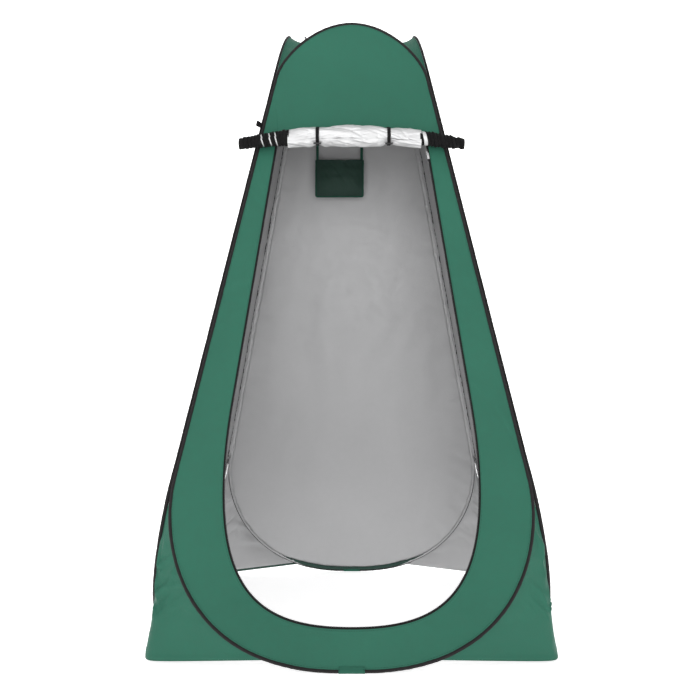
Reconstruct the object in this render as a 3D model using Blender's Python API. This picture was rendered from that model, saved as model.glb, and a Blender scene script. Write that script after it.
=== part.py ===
"""A pop-up privacy shower tent: four sprung hoops, their wall cloths, and a door rolled up.

Metres, +Z up, the origin on the ground under the middle, the door on the -Y side.
Each wall is drawn once, facing -Y, and turned about Z in quarter turns.
"""

import math

import bmesh
import bpy
import numpy as np
from mathutils import Matrix, Vector

# The walls: a corner edge stands at (w, w), where w falls with the height.
# Only the front and back ones flare out at the foot, so their domes stand lower than the side ones.
FRONT, SIDE = 0, 1
HEIGHTS = (1.90, 1.95)
FLARES = (0.043, 0.0)
EDGE_AT_GROUND = 0.585
EDGE_LEAN = 0.1986
LOWER_SPLIT_Z = 0.472
UPPER_SPLIT_Z = 1.70
DOME_REACH = 0.012

# The hoops: a spring wire in a cloth sleeve, closed at the bottom by a crimp under a cloth cover.
WIRE_RADIUS = 0.00175
CRIMP_RADII = (0.0030, 0.0021)
CRIMP_LENGTH = 0.024
WIRE_END_GAP = 0.001
SLEEVE_RADII = (0.0052, 0.0042)
COVER_RADII = (0.0056, 0.0036)
COVER_LENGTH = 0.066
SLEEVE_OFF_EDGE = 0.0082
LOW_ARC_PULLS = (0.386, 0.176)
DOME_PULLS = (0.088, 0.107)
LOW_ARC_STEPS = 10
DOME_STEPS = 7

# Cloth and the room it keeps to the sleeves.
CLOTH = 0.001
CLEARANCE = 0.0003
CLOTH_EDGE_GAP = 0.0007

# The door opening and its zip.
DOOR_HEAD_CORNER = (0.2279, 1.517)
DOOR_HEAD_Z = 1.536
DOOR_SIDE_LEAN = 0.1297
DOOR_ARC_Z = 0.6815
DOOR_SILL_Z = 0.102
DOOR_ARC_PULLS = (0.505, 0.243)
DOOR_SIDE_STEPS = 4
TAPE_WIDTH = 0.0035
TAPE_HALF_THICK = 0.0005
BEAD_WIDTH = 0.0025
BEAD_HALF_THICK = 0.0014
SLIDER_Z = 1.452
SLIDER_LENGTH = 0.015
STOP_Z = 1.482
STOP_LENGTH = 0.005
TAB_PIN_OUT = 0.0054
TAB_PIN_DOWN = 0.0035
TAB_PIN_RADIUS = 0.0008
TAB_LENGTH = 0.021
TAB_WIDTH = 0.0065
TAB_THICK = 0.0011
TAB_NECK = (0.0034, 0.0080, 0.0022)
EAR_SIZES = (0.0010, 0.0036, 0.0042)
EAR_OFF_MIDDLE = 0.0026
EAR_SINK = 0.0006

# The rolled door, which hangs on a line along the head of the opening.
ROLL_HALF = 0.341
ROLL_SILVER_ENDS = (-0.190, 0.207)
ROLL_MID = (-0.314, 1.498)
ROLL_END_DROP = 0.034
ROLL_END_FORWARD = 0.013
ROLL_RADII = (0.0310, 0.0175)
ROLL_AXIS = (-0.2835, 1.533)
TIE_X = (-0.104, 0.113)
TIE_WIDTH = 0.009
TIE_THICK = 0.0012
TOGGLE_LENGTH = 0.024
TOGGLE_RADIUS = 0.0027
TOGGLE_ANGLE = math.radians(-62)

# The hanging pocket.
POCKET_X = (-0.1365, 0.0455)
POCKET_Z = (1.452, 1.594)
POCKET_BACK_Y = 0.231
POCKET_DEPTH = 0.018
POCKET_TAPE_WIDTH = 0.010
POCKET_HANG_Z = 1.785
POCKET_BIND = 0.006
POCKET_BIND_HALF_THICK = 0.0014
POCKET_FRONT_OFF = 0.0016
POCKET_HEM = (0.008, 0.0022)
POCKET_TAPE_THICK = 0.0014
POCKET_TAPE_INSET = 0.008

# The cloth corners between the round bottoms of two hoops.
CORNER_TIP = (0.536, 0.006)
GUSSET_TOP_Z = 0.385
GUSSET_TOP_INSET = 0.008
GUSSET_FOOT_X = 0.215
GUSSET_ROUNDING = 0.12

# The roof is drawn tight between the tops of neighbouring domes.
RIDGE_SAG = 0.033

# Webbing loops: width, length, half the gap between their legs.
EDGE_LOOP = (0.016, 0.018, 0.0030)
EDGE_LOOP_Z = 1.536
ROOF_LOOP = (0.012, 0.013, 0.0026)
ROOF_LOOP_LIFT = 0.0045
LOOP_THICK = 0.0012

SIDES = ("front", "right", "back", "left")
QUARTER = math.pi / 2
BASE_Z = COVER_RADII[0] * math.cos(math.pi / 8)
COLOURS = {
    "green": ((0.055, 0.195, 0.133, 1), 0.75, 0.0),
    "dark_green": ((0.013, 0.040, 0.027, 1), 0.80, 0.0),
    "black": ((0.022, 0.021, 0.022, 1), 0.80, 0.0),
    "silver_cloth": ((0.60, 0.60, 0.60, 1), 0.45, 0.3),
    "steel": ((0.45, 0.45, 0.46, 1), 0.35, 1.0),
    "zip_metal": ((0.80, 0.80, 0.81, 1), 0.30, 1.0),
}


def clear_scene():
    for obj in list(bpy.data.objects):
        bpy.data.objects.remove(obj, do_unlink=True)


def paint(obj, colour):
    material = bpy.data.materials.get(colour)
    if material is None:
        base, roughness, metallic = COLOURS[colour]
        material = bpy.data.materials.new(colour)
        material.use_nodes = True
        shader = material.node_tree.nodes["Principled BSDF"]
        shader.inputs["Base Color"].default_value = base
        shader.inputs["Roughness"].default_value = roughness
        shader.inputs["Metallic"].default_value = metallic
    obj.data.materials.clear()
    obj.data.materials.append(material)


def empty_at(name, point, parent=None):
    """An empty on a joint's axis, which its body's pieces hang on."""
    obj = bpy.data.objects.new(name, None)
    bpy.context.scene.collection.objects.link(obj)
    obj.matrix_world = Matrix.Translation(point)
    if parent:
        obj.parent = parent
        obj.matrix_parent_inverse = Matrix.Translation(-parent.matrix_world.translation)
    bpy.context.view_layer.update()
    return obj


def make_mesh(name, points, faces, smooth_below=40):
    """A mesh with its faces turned outwards, smooth where its faces meet at a small angle."""
    mesh = bpy.data.meshes.new(name)
    mesh.from_pydata([tuple(p) for p in points], [], faces)
    shape = bmesh.new()
    shape.from_mesh(mesh)
    bmesh.ops.recalc_face_normals(shape, faces=shape.faces)
    shape.to_mesh(mesh)
    shape.free()
    mesh.shade_smooth()
    mesh.set_sharp_from_angle(angle=math.radians(smooth_below))
    return mesh


def place(name, mesh, colour, body, quarter_turns=0, thicken=0.0):
    """One piece, on its body's empty. Cloth is drawn as a surface, and thickened on both sides."""
    obj = bpy.data.objects.new(name, mesh)
    bpy.context.scene.collection.objects.link(obj)
    obj.parent = body
    obj.matrix_parent_inverse = body.matrix_world.inverted()
    obj.rotation_euler = (0, 0, quarter_turns * QUARTER)
    if thicken:
        solidify = obj.modifiers.new("thickness", "SOLIDIFY")
        solidify.thickness = thicken
        solidify.offset = 0
    paint(obj, colour)
    return obj


def smoothstep(t):
    t = min(max(t, 0.0), 1.0)
    return t * t * (3 - 2 * t)


def edge_width(z):
    """Half the width between two corner edges at a height."""
    return EDGE_AT_GROUND - EDGE_LEAN * z


def dome_top(kind):
    """The height of a hoop's centreline at the top of its dome."""
    return HEIGHTS[kind] - SLEEVE_RADII[0]


def wall_depth(z, kind=FRONT):
    """How far a wall stands from the middle: it flares out at its foot and at its dome."""
    foot = FLARES[kind] * smoothstep(1 - z / LOWER_SPLIT_Z)
    dome = DOME_REACH * smoothstep((z - UPPER_SPLIT_Z) / (HEIGHTS[kind] - UPPER_SPLIT_Z))
    return edge_width(z) + foot + dome


def wall_normal(z, kind=FRONT):
    step = 0.001
    slope = (wall_depth(z + step, kind) - wall_depth(z - step, kind)) / (2 * step)
    return Vector((0, -1, -slope)).normalized()


def on_wall(x, z, out=0.0, kind=FRONT):
    return Vector((x, -wall_depth(z, kind), z)) + wall_normal(z, kind) * out


def bezier(start, pull_start, pull_end, end, count):
    """Points of a cubic curve after its start, in the wall's own width and height."""
    points = []
    for i in range(1, count + 1):
        t = i / count
        weights = ((1 - t) ** 3, 3 * t * (1 - t) ** 2, 3 * t * t * (1 - t), t**3)
        corners = (start, pull_start, pull_end, end)
        points.append(tuple(sum(w * c[k] for w, c in zip(weights, corners)) for k in (0, 1)))
    return points


def edge_point(z):
    return (edge_width(z) - SLEEVE_OFF_EDGE, z)


def along_edge(point, distance):
    length = math.hypot(1, EDGE_LEAN)
    return (point[0] - EDGE_LEAN * distance / length, point[1] + distance / length)


def hoop_half(kind=FRONT):
    """The +X half of a hoop's centreline, from the cover's end up to the top of the dome."""
    foot = (COVER_LENGTH / 2, BASE_Z)
    low = edge_point(LOWER_SPLIT_Z)
    high = edge_point(UPPER_SPLIT_Z)
    top = (0.0, dome_top(kind))
    foot_pull = (foot[0] + LOW_ARC_PULLS[0], BASE_Z)
    top_pull = (DOME_PULLS[1], top[1])
    points = [foot]
    points += bezier(foot, foot_pull, along_edge(low, -LOW_ARC_PULLS[1]), low, LOW_ARC_STEPS)
    points.append(high)
    points += bezier(high, along_edge(high, DOME_PULLS[0]), top_pull, top, DOME_STEPS)
    return points


def whole(half):
    """A half outline that ends on the centreline, and its mirror image."""
    return half + [(-x, z) for x, z in reversed(half[:-1])]


def route_on_wall(outline, kind=FRONT):
    points = [on_wall(x, z, kind=kind) for x, z in outline]
    normals = [wall_normal(z, kind) for x, z in outline]
    return points, normals


def frames_along(points, normals):
    """(across, up) at each point of a route, square to the route, with up near the normal."""
    frames = []
    last = len(points) - 1
    for i, point in enumerate(points):
        ahead = (points[min(i + 1, last)] - point).normalized()
        behind = (point - points[max(i - 1, 0)]).normalized()
        along = (ahead + behind).normalized()
        up = (normals[i] - along * normals[i].dot(along)).normalized()
        frames.append((along.cross(up), up))
    return frames


def ring_of(radius, sides=8):
    """A polygon with a flat below and above."""
    turns = [(i + 0.5) * 2 * math.pi / sides for i in range(sides)]
    return [(radius * math.cos(a), radius * math.sin(a)) for a in turns]


def sweep(name, points, normals, section, bore=None):
    """A section carried along a route, capped, or with a bore right through it."""
    rings = [section] if bore is None else [section, bore]
    vertices = []
    faces = []
    for ring in rings:
        size = len(ring)
        first = len(vertices)
        for point, (across, up) in zip(points, frames_along(points, normals)):
            vertices += [point + across * u + up * v for u, v in ring]
        for i in range(len(points) - 1):
            for k in range(size):
                a = first + i * size + k
                b = first + i * size + (k + 1) % size
                faces.append((a, b, b + size, a + size))
    size = len(section)
    end = (len(points) - 1) * size
    if bore is None:
        faces += [tuple(range(size)), tuple(range(end, end + size))]
    else:
        bore_start = len(points) * size
        for start in (0, end):
            for k in range(size):
                n = (k + 1) % size
                faces.append((start + k, start + n, bore_start + start + n, bore_start + start + k))
    return make_mesh(name, vertices, faces)


def inset(outline, distance):
    """A half outline moved in its own plane, square to itself, towards the inside of the hoop."""
    moved = []
    last = len(outline) - 1
    for i, (x, z) in enumerate(outline):
        before = outline[max(i - 1, 0)]
        after = outline[min(i + 1, last)]
        dx = after[0] - before[0]
        dz = after[1] - before[1]
        if i == last:
            dx, dz = -1.0, 0.0
        length = math.hypot(dx, dz)
        moved.append((x - dz / length * distance, z + dx / length * distance))
    return moved


def cloth_edge(kind=FRONT):
    """Where a wall's cloth ends, just inside its sleeve."""
    return inset(hoop_half(kind), SLEEVE_RADII[0] + CLOTH_EDGE_GAP)


def door_half():
    """The +X half of the opening, from the middle of its sill up to the middle of its head.

    It has a point for each of the hoop's, so that cloth can be drawn between the two.
    """
    corner = DOOR_HEAD_CORNER
    side_foot = (corner[0] + DOOR_SIDE_LEAN * (corner[1] - DOOR_ARC_Z), DOOR_ARC_Z)
    length = math.hypot(1, DOOR_SIDE_LEAN)
    pull = DOOR_ARC_PULLS[0] / length
    side_pull = (side_foot[0] + DOOR_SIDE_LEAN * pull, side_foot[1] - pull)
    sill = (0.0, DOOR_SILL_Z)
    points = [sill]
    points += bezier(sill, (DOOR_ARC_PULLS[1], DOOR_SILL_Z), side_pull, side_foot, LOW_ARC_STEPS + 1)
    for i in range(1, DOOR_SIDE_STEPS + 1):
        z = DOOR_ARC_Z + (corner[1] - DOOR_ARC_Z) * i / DOOR_SIDE_STEPS
        points.append((corner[0] + DOOR_SIDE_LEAN * (corner[1] - z), z))
    for i in range(1, DOME_STEPS + 1):
        x = corner[0] * (1 - i / DOME_STEPS)
        points.append((x, head_z(x)))
    return points


def head_z(x):
    """The height of the opening's head, a shallow arch."""
    return DOOR_HEAD_Z - (DOOR_HEAD_Z - DOOR_HEAD_CORNER[1]) * (x / DOOR_HEAD_CORNER[0]) ** 2


def wall_cloth_mesh(kind, columns=4):
    """Rows across the wall, from the flat of its foot up to a point at the top of the dome."""
    edge = cloth_edge(kind)
    rows = edge[:-1]
    vertices = []
    for x, z in rows:
        vertices += [on_wall(-x + 2 * x * k / columns, z, kind=kind) for k in range(columns + 1)]
    vertices.append(on_wall(0, edge[-1][1], kind=kind))
    wide = columns + 1
    faces = []
    for i in range(len(rows) - 1):
        for k in range(columns):
            a = i * wide + k
            faces.append((a, a + 1, a + 1 + wide, a + wide))
    top_row = (len(rows) - 1) * wide
    for k in range(columns):
        faces.append((top_row + k, top_row + k + 1, len(vertices) - 1))
    return cloth_mesh("wall_cloth", vertices, faces)


def cloth_mesh(name, vertices, faces):
    """A surface to be thickened, smooth all over."""
    mesh = bpy.data.meshes.new(name)
    mesh.from_pydata([tuple(v) for v in vertices], [], faces)
    mesh.shade_smooth()
    return mesh


def front_cloth_mesh(rings=3):
    """The front wall's cloth: a ring between its sleeve and the opening."""
    edge = cloth_edge()
    low = edge[LOW_ARC_STEPS]
    high = edge[LOW_ARC_STEPS + 1]
    outer = [(0.0, edge[0][1])] + edge[: LOW_ARC_STEPS + 1]
    for i in range(1, DOOR_SIDE_STEPS):
        t = i / DOOR_SIDE_STEPS
        outer.append((low[0] + (high[0] - low[0]) * t, low[1] + (high[1] - low[1]) * t))
    outer += edge[LOW_ARC_STEPS + 1 :]
    inner = door_half()
    loops = []
    for r in range(rings + 1):
        t = r / rings
        half = [
            (ox + (ix - ox) * t, oz + (iz - oz) * t)
            for (ox, oz), (ix, iz) in zip(outer, inner)
        ]
        loops.append(half + [(-x, z) for x, z in reversed(half[1:-1])])
    size = len(loops[0])
    vertices = [on_wall(x, z) for loop in loops for x, z in loop]
    faces = []
    for r in range(rings):
        for k in range(size):
            n = (k + 1) % size
            a = r * size
            faces.append((a + k, a + n, a + size + n, a + size + k))
    return cloth_mesh("front_cloth", vertices, faces)


def gusset_edge(kind, top, tip):
    """(ridge, start) for each row of a gusset: a point of its ridge, and its edge off that wall's sleeve."""
    arc = [p for p in hoop_half(kind)[:LOW_ARC_STEPS] if p[1] < GUSSET_TOP_Z and p[0] > GUSSET_FOOT_X]
    arc.reverse()
    off_sleeve = SLEEVE_RADII[0] + CLOTH / 2 + CLOTH_EDGE_GAP
    points, normals = route_on_wall(arc, kind)
    rows = []
    for i, (start, (across, up)) in enumerate(zip(points, frames_along(points, normals))):
        ridge = top.lerp(tip, i / (len(arc) - 1))
        towards = ridge - start
        towards = across * towards.dot(across) + up * towards.dot(up)
        rows.append((ridge, start + towards.normalized() * off_sleeve))
    return rows


def gusset_mesh(kind, columns=6):
    """The corner at +X, -Y: from the two lower arcs out to a rounded tip above the ground.

    kind is the wall on its -Y side, and the wall on its +X side is of the other kind.
    """
    width = edge_width(GUSSET_TOP_Z) - GUSSET_TOP_INSET
    top = Vector((width, -width, GUSSET_TOP_Z))
    tip = Vector((CORNER_TIP[0], -CORNER_TIP[0], CORNER_TIP[1]))
    near = gusset_edge(kind, top, tip)
    far = gusset_edge(1 - kind, top, tip)
    vertices = []
    for (ridge, start), (_, mirrored) in zip(near, far):
        other = Vector((-mirrored.y, -mirrored.x, mirrored.z))
        even = (start + other) / 2 - ridge
        odd = (start - other) / 2
        for k in range(columns + 1):
            v = 1 - 2 * k / columns
            rounded = math.sqrt(v * v + GUSSET_ROUNDING**2) - GUSSET_ROUNDING
            rounded /= math.sqrt(1 + GUSSET_ROUNDING**2) - GUSSET_ROUNDING
            vertices.append(ridge + even * rounded + odd * v)
    wide = columns + 1
    faces = []
    for i in range(len(near) - 1):
        for k in range(columns):
            a = i * wide + k
            faces.append((a, a + 1, a + 1 + wide, a + wide))
    return cloth_mesh("gusset", vertices, faces)


def roof_edge(kind):
    """One edge of the roof, just behind the dome's sleeve, drawn in to meet at the corners."""
    outline = whole(hoop_half(kind)[LOW_ARC_STEPS + 1 :])
    count = len(outline)
    behind = -(SLEEVE_RADII[0] + CLOTH / 2 + CLOTH_EDGE_GAP)
    points = [on_wall(-x, z, behind, kind) for x, z in outline]
    corner = points[-1]
    drawn_in = Vector(((-corner.y - corner.x) / 2, (-corner.y - corner.x) / 2, 0))
    for i, point in enumerate(points):
        u = -1 + 2 * i / (count - 1)
        pull = abs(u) ** 6
        point += Vector((drawn_in.x * math.copysign(pull, u), drawn_in.y * pull, 0))
    return points


def ridge_heights(grid):
    """(row, column, height) of the points that hold the roof up, between the tops of neighbouring domes."""
    middle = len(grid) // 2
    last = len(grid) - 1
    front_top = grid[0, middle, 2]
    side_top = grid[middle, 0, 2]
    held = []
    for i in range(1, middle):
        t = i / middle
        height = side_top + (front_top - side_top) * t - 4 * RIDGE_SAG * t * (1 - t)
        for column in (i, last - i):
            held.append((middle - i, column, height))
            held.append((middle + i, column, height))
    return held


def roof_grid(rounds=400):
    """Cloth between the four domes: each inner point rests at the mean of its neighbours, or on a ridge."""
    front = [tuple(p) for p in roof_edge(FRONT)]
    side = [tuple(p) for p in roof_edge(SIDE)]
    count = len(front)
    grid = np.zeros((count, count, 3))
    for k, ((x, y, z), (along, off, rise)) in enumerate(zip(front, side)):
        grid[0, k] = (x, y, z)
        grid[count - 1, k] = (x, -y, z)
        grid[k, 0] = (off, along, rise)
        grid[k, count - 1] = (-off, along, rise)
    ridges = ridge_heights(grid)
    grid[1:-1, 1:-1] = grid[0].mean(axis=0)
    for _ in range(rounds):
        around = grid[:-2, 1:-1] + grid[2:, 1:-1] + grid[1:-1, :-2] + grid[1:-1, 2:]
        grid[1:-1, 1:-1] = around / 4
        for row, column, height in ridges:
            grid[row, column, 2] = max(grid[row, column, 2], height)
    return grid


def roof_half_mesh(name, grid, keep_right):
    """One of the two roof cloths that meet on the diagonal from front left to back right."""
    count = len(grid)
    apart = CLEARANCE if keep_right else -CLEARANCE
    places = {}
    vertices = []
    for row in range(count):
        for column in range(count):
            if (column >= row) if keep_right else (column <= row):
                x, y, z = (float(c) for c in grid[row, column])
                if row == column:
                    x, y = x + apart, y - apart
                places[row, column] = len(vertices)
                vertices.append((x, y, z))
    faces = []
    for row in range(count - 1):
        for column in range(count - 1):
            corners = [(row, column), (row, column + 1), (row + 1, column + 1), (row + 1, column)]
            held = [places[c] for c in corners if c in places]
            if len(held) >= 3:
                faces.append(tuple(held))
    return cloth_mesh(name, vertices, faces)


def side_point(z, in_from_edge=0.0):
    """A point on the +X side of the opening, or that far into the opening from it."""
    length = math.hypot(1, DOOR_SIDE_LEAN)
    x = DOOR_HEAD_CORNER[0] + DOOR_SIDE_LEAN * (DOOR_HEAD_CORNER[1] - z)
    return (x - in_from_edge / length, z - in_from_edge * DOOR_SIDE_LEAN / length)


def tape_section():
    """The zip's tape, and the bead of its coil along the tape's free edge."""
    start = CLEARANCE
    bead_start = start + TAPE_WIDTH
    bead_end = bead_start + BEAD_WIDTH
    half = TAPE_HALF_THICK
    bead = BEAD_HALF_THICK
    return [
        (start, -half),
        (bead_start, -half),
        (bead_start, -bead),
        (bead_end, -bead),
        (bead_end, bead),
        (bead_start, bead),
        (bead_start, half),
        (start, half),
    ]


def clasp_section(gap, wall):
    """A C round the bead, open towards the tape."""
    mouth = CLEARANCE + TAPE_WIDTH - 0.0008
    reach = CLEARANCE + TAPE_WIDTH + BEAD_WIDTH + gap
    inside = BEAD_HALF_THICK + gap
    outside = inside + wall
    return [
        (mouth, inside),
        (reach, inside),
        (reach, -inside),
        (mouth, -inside),
        (mouth, -outside),
        (reach + wall, -outside),
        (reach + wall, outside),
        (mouth, outside),
    ]


def clasp_mesh(name, centre_z, length, section, mirror=1):
    """A clasp on the straight side of the zip: a slider's body, or a stop."""
    rise = length / 2 / math.hypot(1, EDGE_LEAN)
    ends = [side_point(centre_z - rise), side_point(centre_z + rise)]
    points, normals = route_on_wall([(mirror * x, z) for x, z in ends])
    return sweep(name, points, normals, [(mirror * u * -1, v) for u, v in section])


def zip_tape_mesh():
    """The tape all round the opening from one end of its head to the other."""
    right = [side_point(STOP_Z + 0.008)]
    right += list(reversed([p for p in door_half() if p[1] < STOP_Z]))
    outline = right + [(-x, z) for x, z in reversed(right[:-1])]
    points, normals = route_on_wall(outline)
    return sweep("door_zip_tape", points, normals, tape_section())


def slider_frame(inner=False):
    """(pivot, along the zip, across it, outwards) of a pull tab's pin."""
    low = on_wall(*side_point(SLIDER_Z - 0.05))
    high = on_wall(*side_point(SLIDER_Z + 0.05))
    along = (high - low).normalized()
    outwards = wall_normal(SLIDER_Z)
    across = along.cross(outwards).normalized()
    bead_middle = CLEARANCE + TAPE_WIDTH + BEAD_WIDTH / 2 + 0.0003
    facing = -1 if inner else 1
    pivot = on_wall(*side_point(SLIDER_Z)) - across * bead_middle
    pivot += outwards * facing * TAB_PIN_OUT + along * -TAB_PIN_DOWN
    return pivot, along, across, outwards * facing


def box_mesh(name, centre, axes, sizes):
    """A box with its own axes."""
    vertices = []
    for i in (-1, 1):
        for j in (-1, 1):
            for k in (-1, 1):
                corner = Vector(centre)
                for axis, size, sign in zip(axes, sizes, (i, j, k)):
                    corner += axis * size * sign / 2
                vertices.append(corner)
    faces = [(0, 1, 3, 2), (4, 6, 7, 5), (0, 4, 5, 1), (2, 3, 7, 6), (0, 2, 6, 4), (1, 5, 7, 3)]
    return make_mesh(name, vertices, faces)


def rod_mesh(name, start, end, radius, sides=12):
    direction = (end - start).normalized()
    helper = Vector((0, 0, 1)) if abs(direction.z) < 0.9 else Vector((1, 0, 0))
    normal = direction.cross(helper).normalized()
    return sweep(name, [start, end], [normal, normal], ring_of(radius, sides))


def add_boolean(obj, mesh, operation):
    """Cuts or joins with a hidden helper."""
    helper = bpy.data.objects.new(obj.name + "_tool", mesh)
    bpy.context.scene.collection.objects.link(helper)
    helper.hide_render = True
    helper.display_type = "WIRE"
    helper.parent = obj.parent
    helper.matrix_parent_inverse = obj.matrix_parent_inverse
    modifier = obj.modifiers.new(operation.lower(), "BOOLEAN")
    modifier.operation = operation
    modifier.object = helper


def make_slider(body):
    """The slider's clasp, with two ears on each face that hold a pull tab's pin."""
    section = clasp_section(0.0004, 0.0012)
    clasp = clasp_mesh("zip_slider", SLIDER_Z, SLIDER_LENGTH, section)
    slider = place("zip_slider", clasp, "zip_metal", body)
    for inner in (False, True):
        pivot, along, across, outwards = slider_frame(inner)
        for side in (-1, 1):
            centre = pivot + across * side * EAR_OFF_MIDDLE - outwards * EAR_SINK
            add_boolean(slider, box_mesh("ear", centre, (across, along, outwards), EAR_SIZES), "UNION")
        reach = across * EAR_OFF_MIDDLE
        pin = rod_mesh("pin", pivot - reach, pivot + reach, TAB_PIN_RADIUS)
        add_boolean(slider, pin, "UNION")


def make_pull_tab(name, inner, body):
    """A flat pull with an eye round its pin: the outer one lies on the cloth, the inner one hangs."""
    pivot, along, across, outwards = slider_frame(inner)
    down = -along
    if inner:
        down = (Vector((0, 0, -1)) - across * Vector((0, 0, -1)).dot(across)).normalized()
    face = across.cross(down).normalized()
    neck_width, neck_length, neck_down = TAB_NECK
    neck_sizes = (neck_width, neck_length, TAB_THICK * 2.4)
    neck = box_mesh(name, pivot + down * neck_down, (across, down, face), neck_sizes)
    tab = place(name, neck, "zip_metal", body)
    blade_middle = pivot + down * (0.005 + TAB_LENGTH / 2)
    blade = box_mesh("blade", blade_middle, (across, down, face), (TAB_WIDTH, TAB_LENGTH, TAB_THICK))
    add_boolean(tab, blade, "UNION")
    reach = across * 0.004
    add_boolean(tab, rod_mesh("eye", pivot - reach, pivot + reach, TAB_PIN_RADIUS + CLEARANCE), "DIFFERENCE")


def roll_centre(x):
    bow = (x / ROLL_HALF) ** 2
    return Vector((x, ROLL_MID[0] - ROLL_END_FORWARD * bow, ROLL_MID[1] - ROLL_END_DROP * bow))


def roll_radius(x):
    """Fullest in the middle, and slimmer towards each end."""
    return ROLL_RADII[0] - (ROLL_RADII[0] - ROLL_RADII[1]) * abs(x / ROLL_HALF) ** 1.5


def roll_mesh(name, start, end, stations, sides=16):
    """A stretch of the rolled door."""
    vertices = []
    faces = []
    for i in range(stations):
        x = start + (end - start) * i / (stations - 1)
        for u, v in ring_of(roll_radius(x), sides):
            vertices.append(roll_centre(x) + Vector((0, u, v)))
    for i in range(stations - 1):
        for k in range(sides):
            a = i * sides + k
            b = i * sides + (k + 1) % sides
            faces.append((a, b, b + sides, a + sides))
    end_ring = (stations - 1) * sides
    faces += [tuple(range(sides)), tuple(range(end_ring, end_ring + sides))]
    return make_mesh(name, vertices, faces)


def head_flap_mesh(columns=8):
    """The short run of the door's cloth from the head seam down to its roll."""
    vertices = []
    reach = DOOR_HEAD_CORNER[0] - 0.022
    for k in range(columns + 1):
        x = -reach + 2 * reach * k / columns
        z = head_z(x)
        seam = on_wall(x, z - 0.003, 0.0012)
        centre = roll_centre(x)
        towards = (seam - centre).normalized()
        vertices += [seam, centre + towards * (roll_radius(x) + CLOTH)]
    faces = [(2 * k, 2 * k + 2, 2 * k + 3, 2 * k + 1) for k in range(columns)]
    return cloth_mesh("door_head_flap", vertices, faces)


def around_roll(x, angle, above):
    """A point beside the roll: angle 0 faces -Y, and a positive angle is above."""
    reach = roll_radius(x) + above
    return roll_centre(x) + Vector((0, -math.cos(angle) * reach, math.sin(angle) * reach))


def strap_section(width, thick):
    return [
        (-width / 2, -thick / 2),
        (width / 2, -thick / 2),
        (width / 2, thick / 2),
        (-width / 2, thick / 2),
    ]


def tie_mesh(name, x, first_angle, last_angle, steps):
    """Webbing round part of the roll, between two angles."""
    above = CLEARANCE + TIE_THICK / 2 + 0.0006
    points = []
    normals = []
    for i in range(steps + 1):
        angle = first_angle + (last_angle - first_angle) * i / steps
        points.append(around_roll(x, angle, above))
        normals.append((around_roll(x, angle, 1) - roll_centre(x)).normalized())
    return sweep(name, points, normals, strap_section(TIE_WIDTH, TIE_THICK))


def toggle_pivot(x):
    return around_roll(x, TOGGLE_ANGLE, CLEARANCE + TIE_THICK + 0.0012 + TOGGLE_RADIUS)


def toggle_mesh(x, sides=10, stations=7):
    """A peg, thinnest at its ends."""
    middle = toggle_pivot(x)
    vertices = []
    faces = []
    for i in range(stations):
        t = -1 + 2 * i / (stations - 1)
        radius = TOGGLE_RADIUS * (1 - 0.45 * t**4)
        for u, v in ring_of(radius, sides):
            vertices.append(middle + Vector((t * TOGGLE_LENGTH / 2, u, v)))
    for i in range(stations - 1):
        for k in range(sides):
            a = i * sides + k
            b = i * sides + (k + 1) % sides
            faces.append((a, b, b + sides, a + sides))
    end_ring = (stations - 1) * sides
    faces += [tuple(range(sides)), tuple(range(end_ring, end_ring + sides))]
    return make_mesh("toggle", vertices, faces)


def webbing_loop_mesh(name, root, outwards, along, sizes, steps=8):
    """A folded tab of webbing: two legs out from its seam, and a round fold."""
    width, length, gap = sizes
    sideways = outwards.cross(along).normalized()
    points = [root - sideways * gap]
    for i in range(steps + 1):
        angle = -QUARTER + math.pi * i / steps
        turn = sideways * math.sin(angle) + outwards * math.cos(angle)
        points.append(root + outwards * (length - gap) + turn * gap)
    points.append(root + sideways * gap)
    middle = root + outwards * (length - gap)
    normals = [-sideways] + [(p - middle).normalized() for p in points[1:-1]] + [sideways]
    return sweep(name, points, normals, strap_section(width, LOOP_THICK))


def make_hoop(side, index, body, meshes):
    for part, colour in (
        ("hoop_wire", "steel"),
        ("wire_crimp", "steel"),
        ("hoop_sleeve", "black"),
        ("crimp_cover", "green"),
    ):
        place(f"{side}_{part}", meshes[part], colour, body, index)


def hoop_meshes(kind):
    points, normals = route_on_wall(whole(hoop_half(kind)), kind)
    sleeve_points = list(points)
    off_cover = Vector((2 * CLEARANCE, 0, 0))
    sleeve_points[0] = points[0] + off_cover
    sleeve_points[-1] = points[-1] - off_cover
    wire_end = WIRE_END_GAP / 2
    wire_points = [on_wall(wire_end, BASE_Z, kind=kind)] + points + [on_wall(-wire_end, BASE_Z, kind=kind)]
    wire_normals = [normals[0]] + normals + [normals[-1]]
    flat = Vector((0, 0, 1))

    def straight(name, length, radii):
        ends = [on_wall(x, BASE_Z, kind=kind) for x in (-length / 2, length / 2)]
        return sweep(name, ends, [flat, flat], ring_of(radii[0]), ring_of(radii[1]))

    return {
        "hoop_sleeve": sweep(
            "hoop_sleeve", sleeve_points, normals, ring_of(SLEEVE_RADII[0]), ring_of(SLEEVE_RADII[1])
        ),
        "hoop_wire": sweep("hoop_wire", wire_points, wire_normals, ring_of(WIRE_RADIUS, 6)),
        "wire_crimp": straight("wire_crimp", CRIMP_LENGTH, CRIMP_RADII),
        "crimp_cover": straight("crimp_cover", COVER_LENGTH, COVER_RADII),
    }


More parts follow.
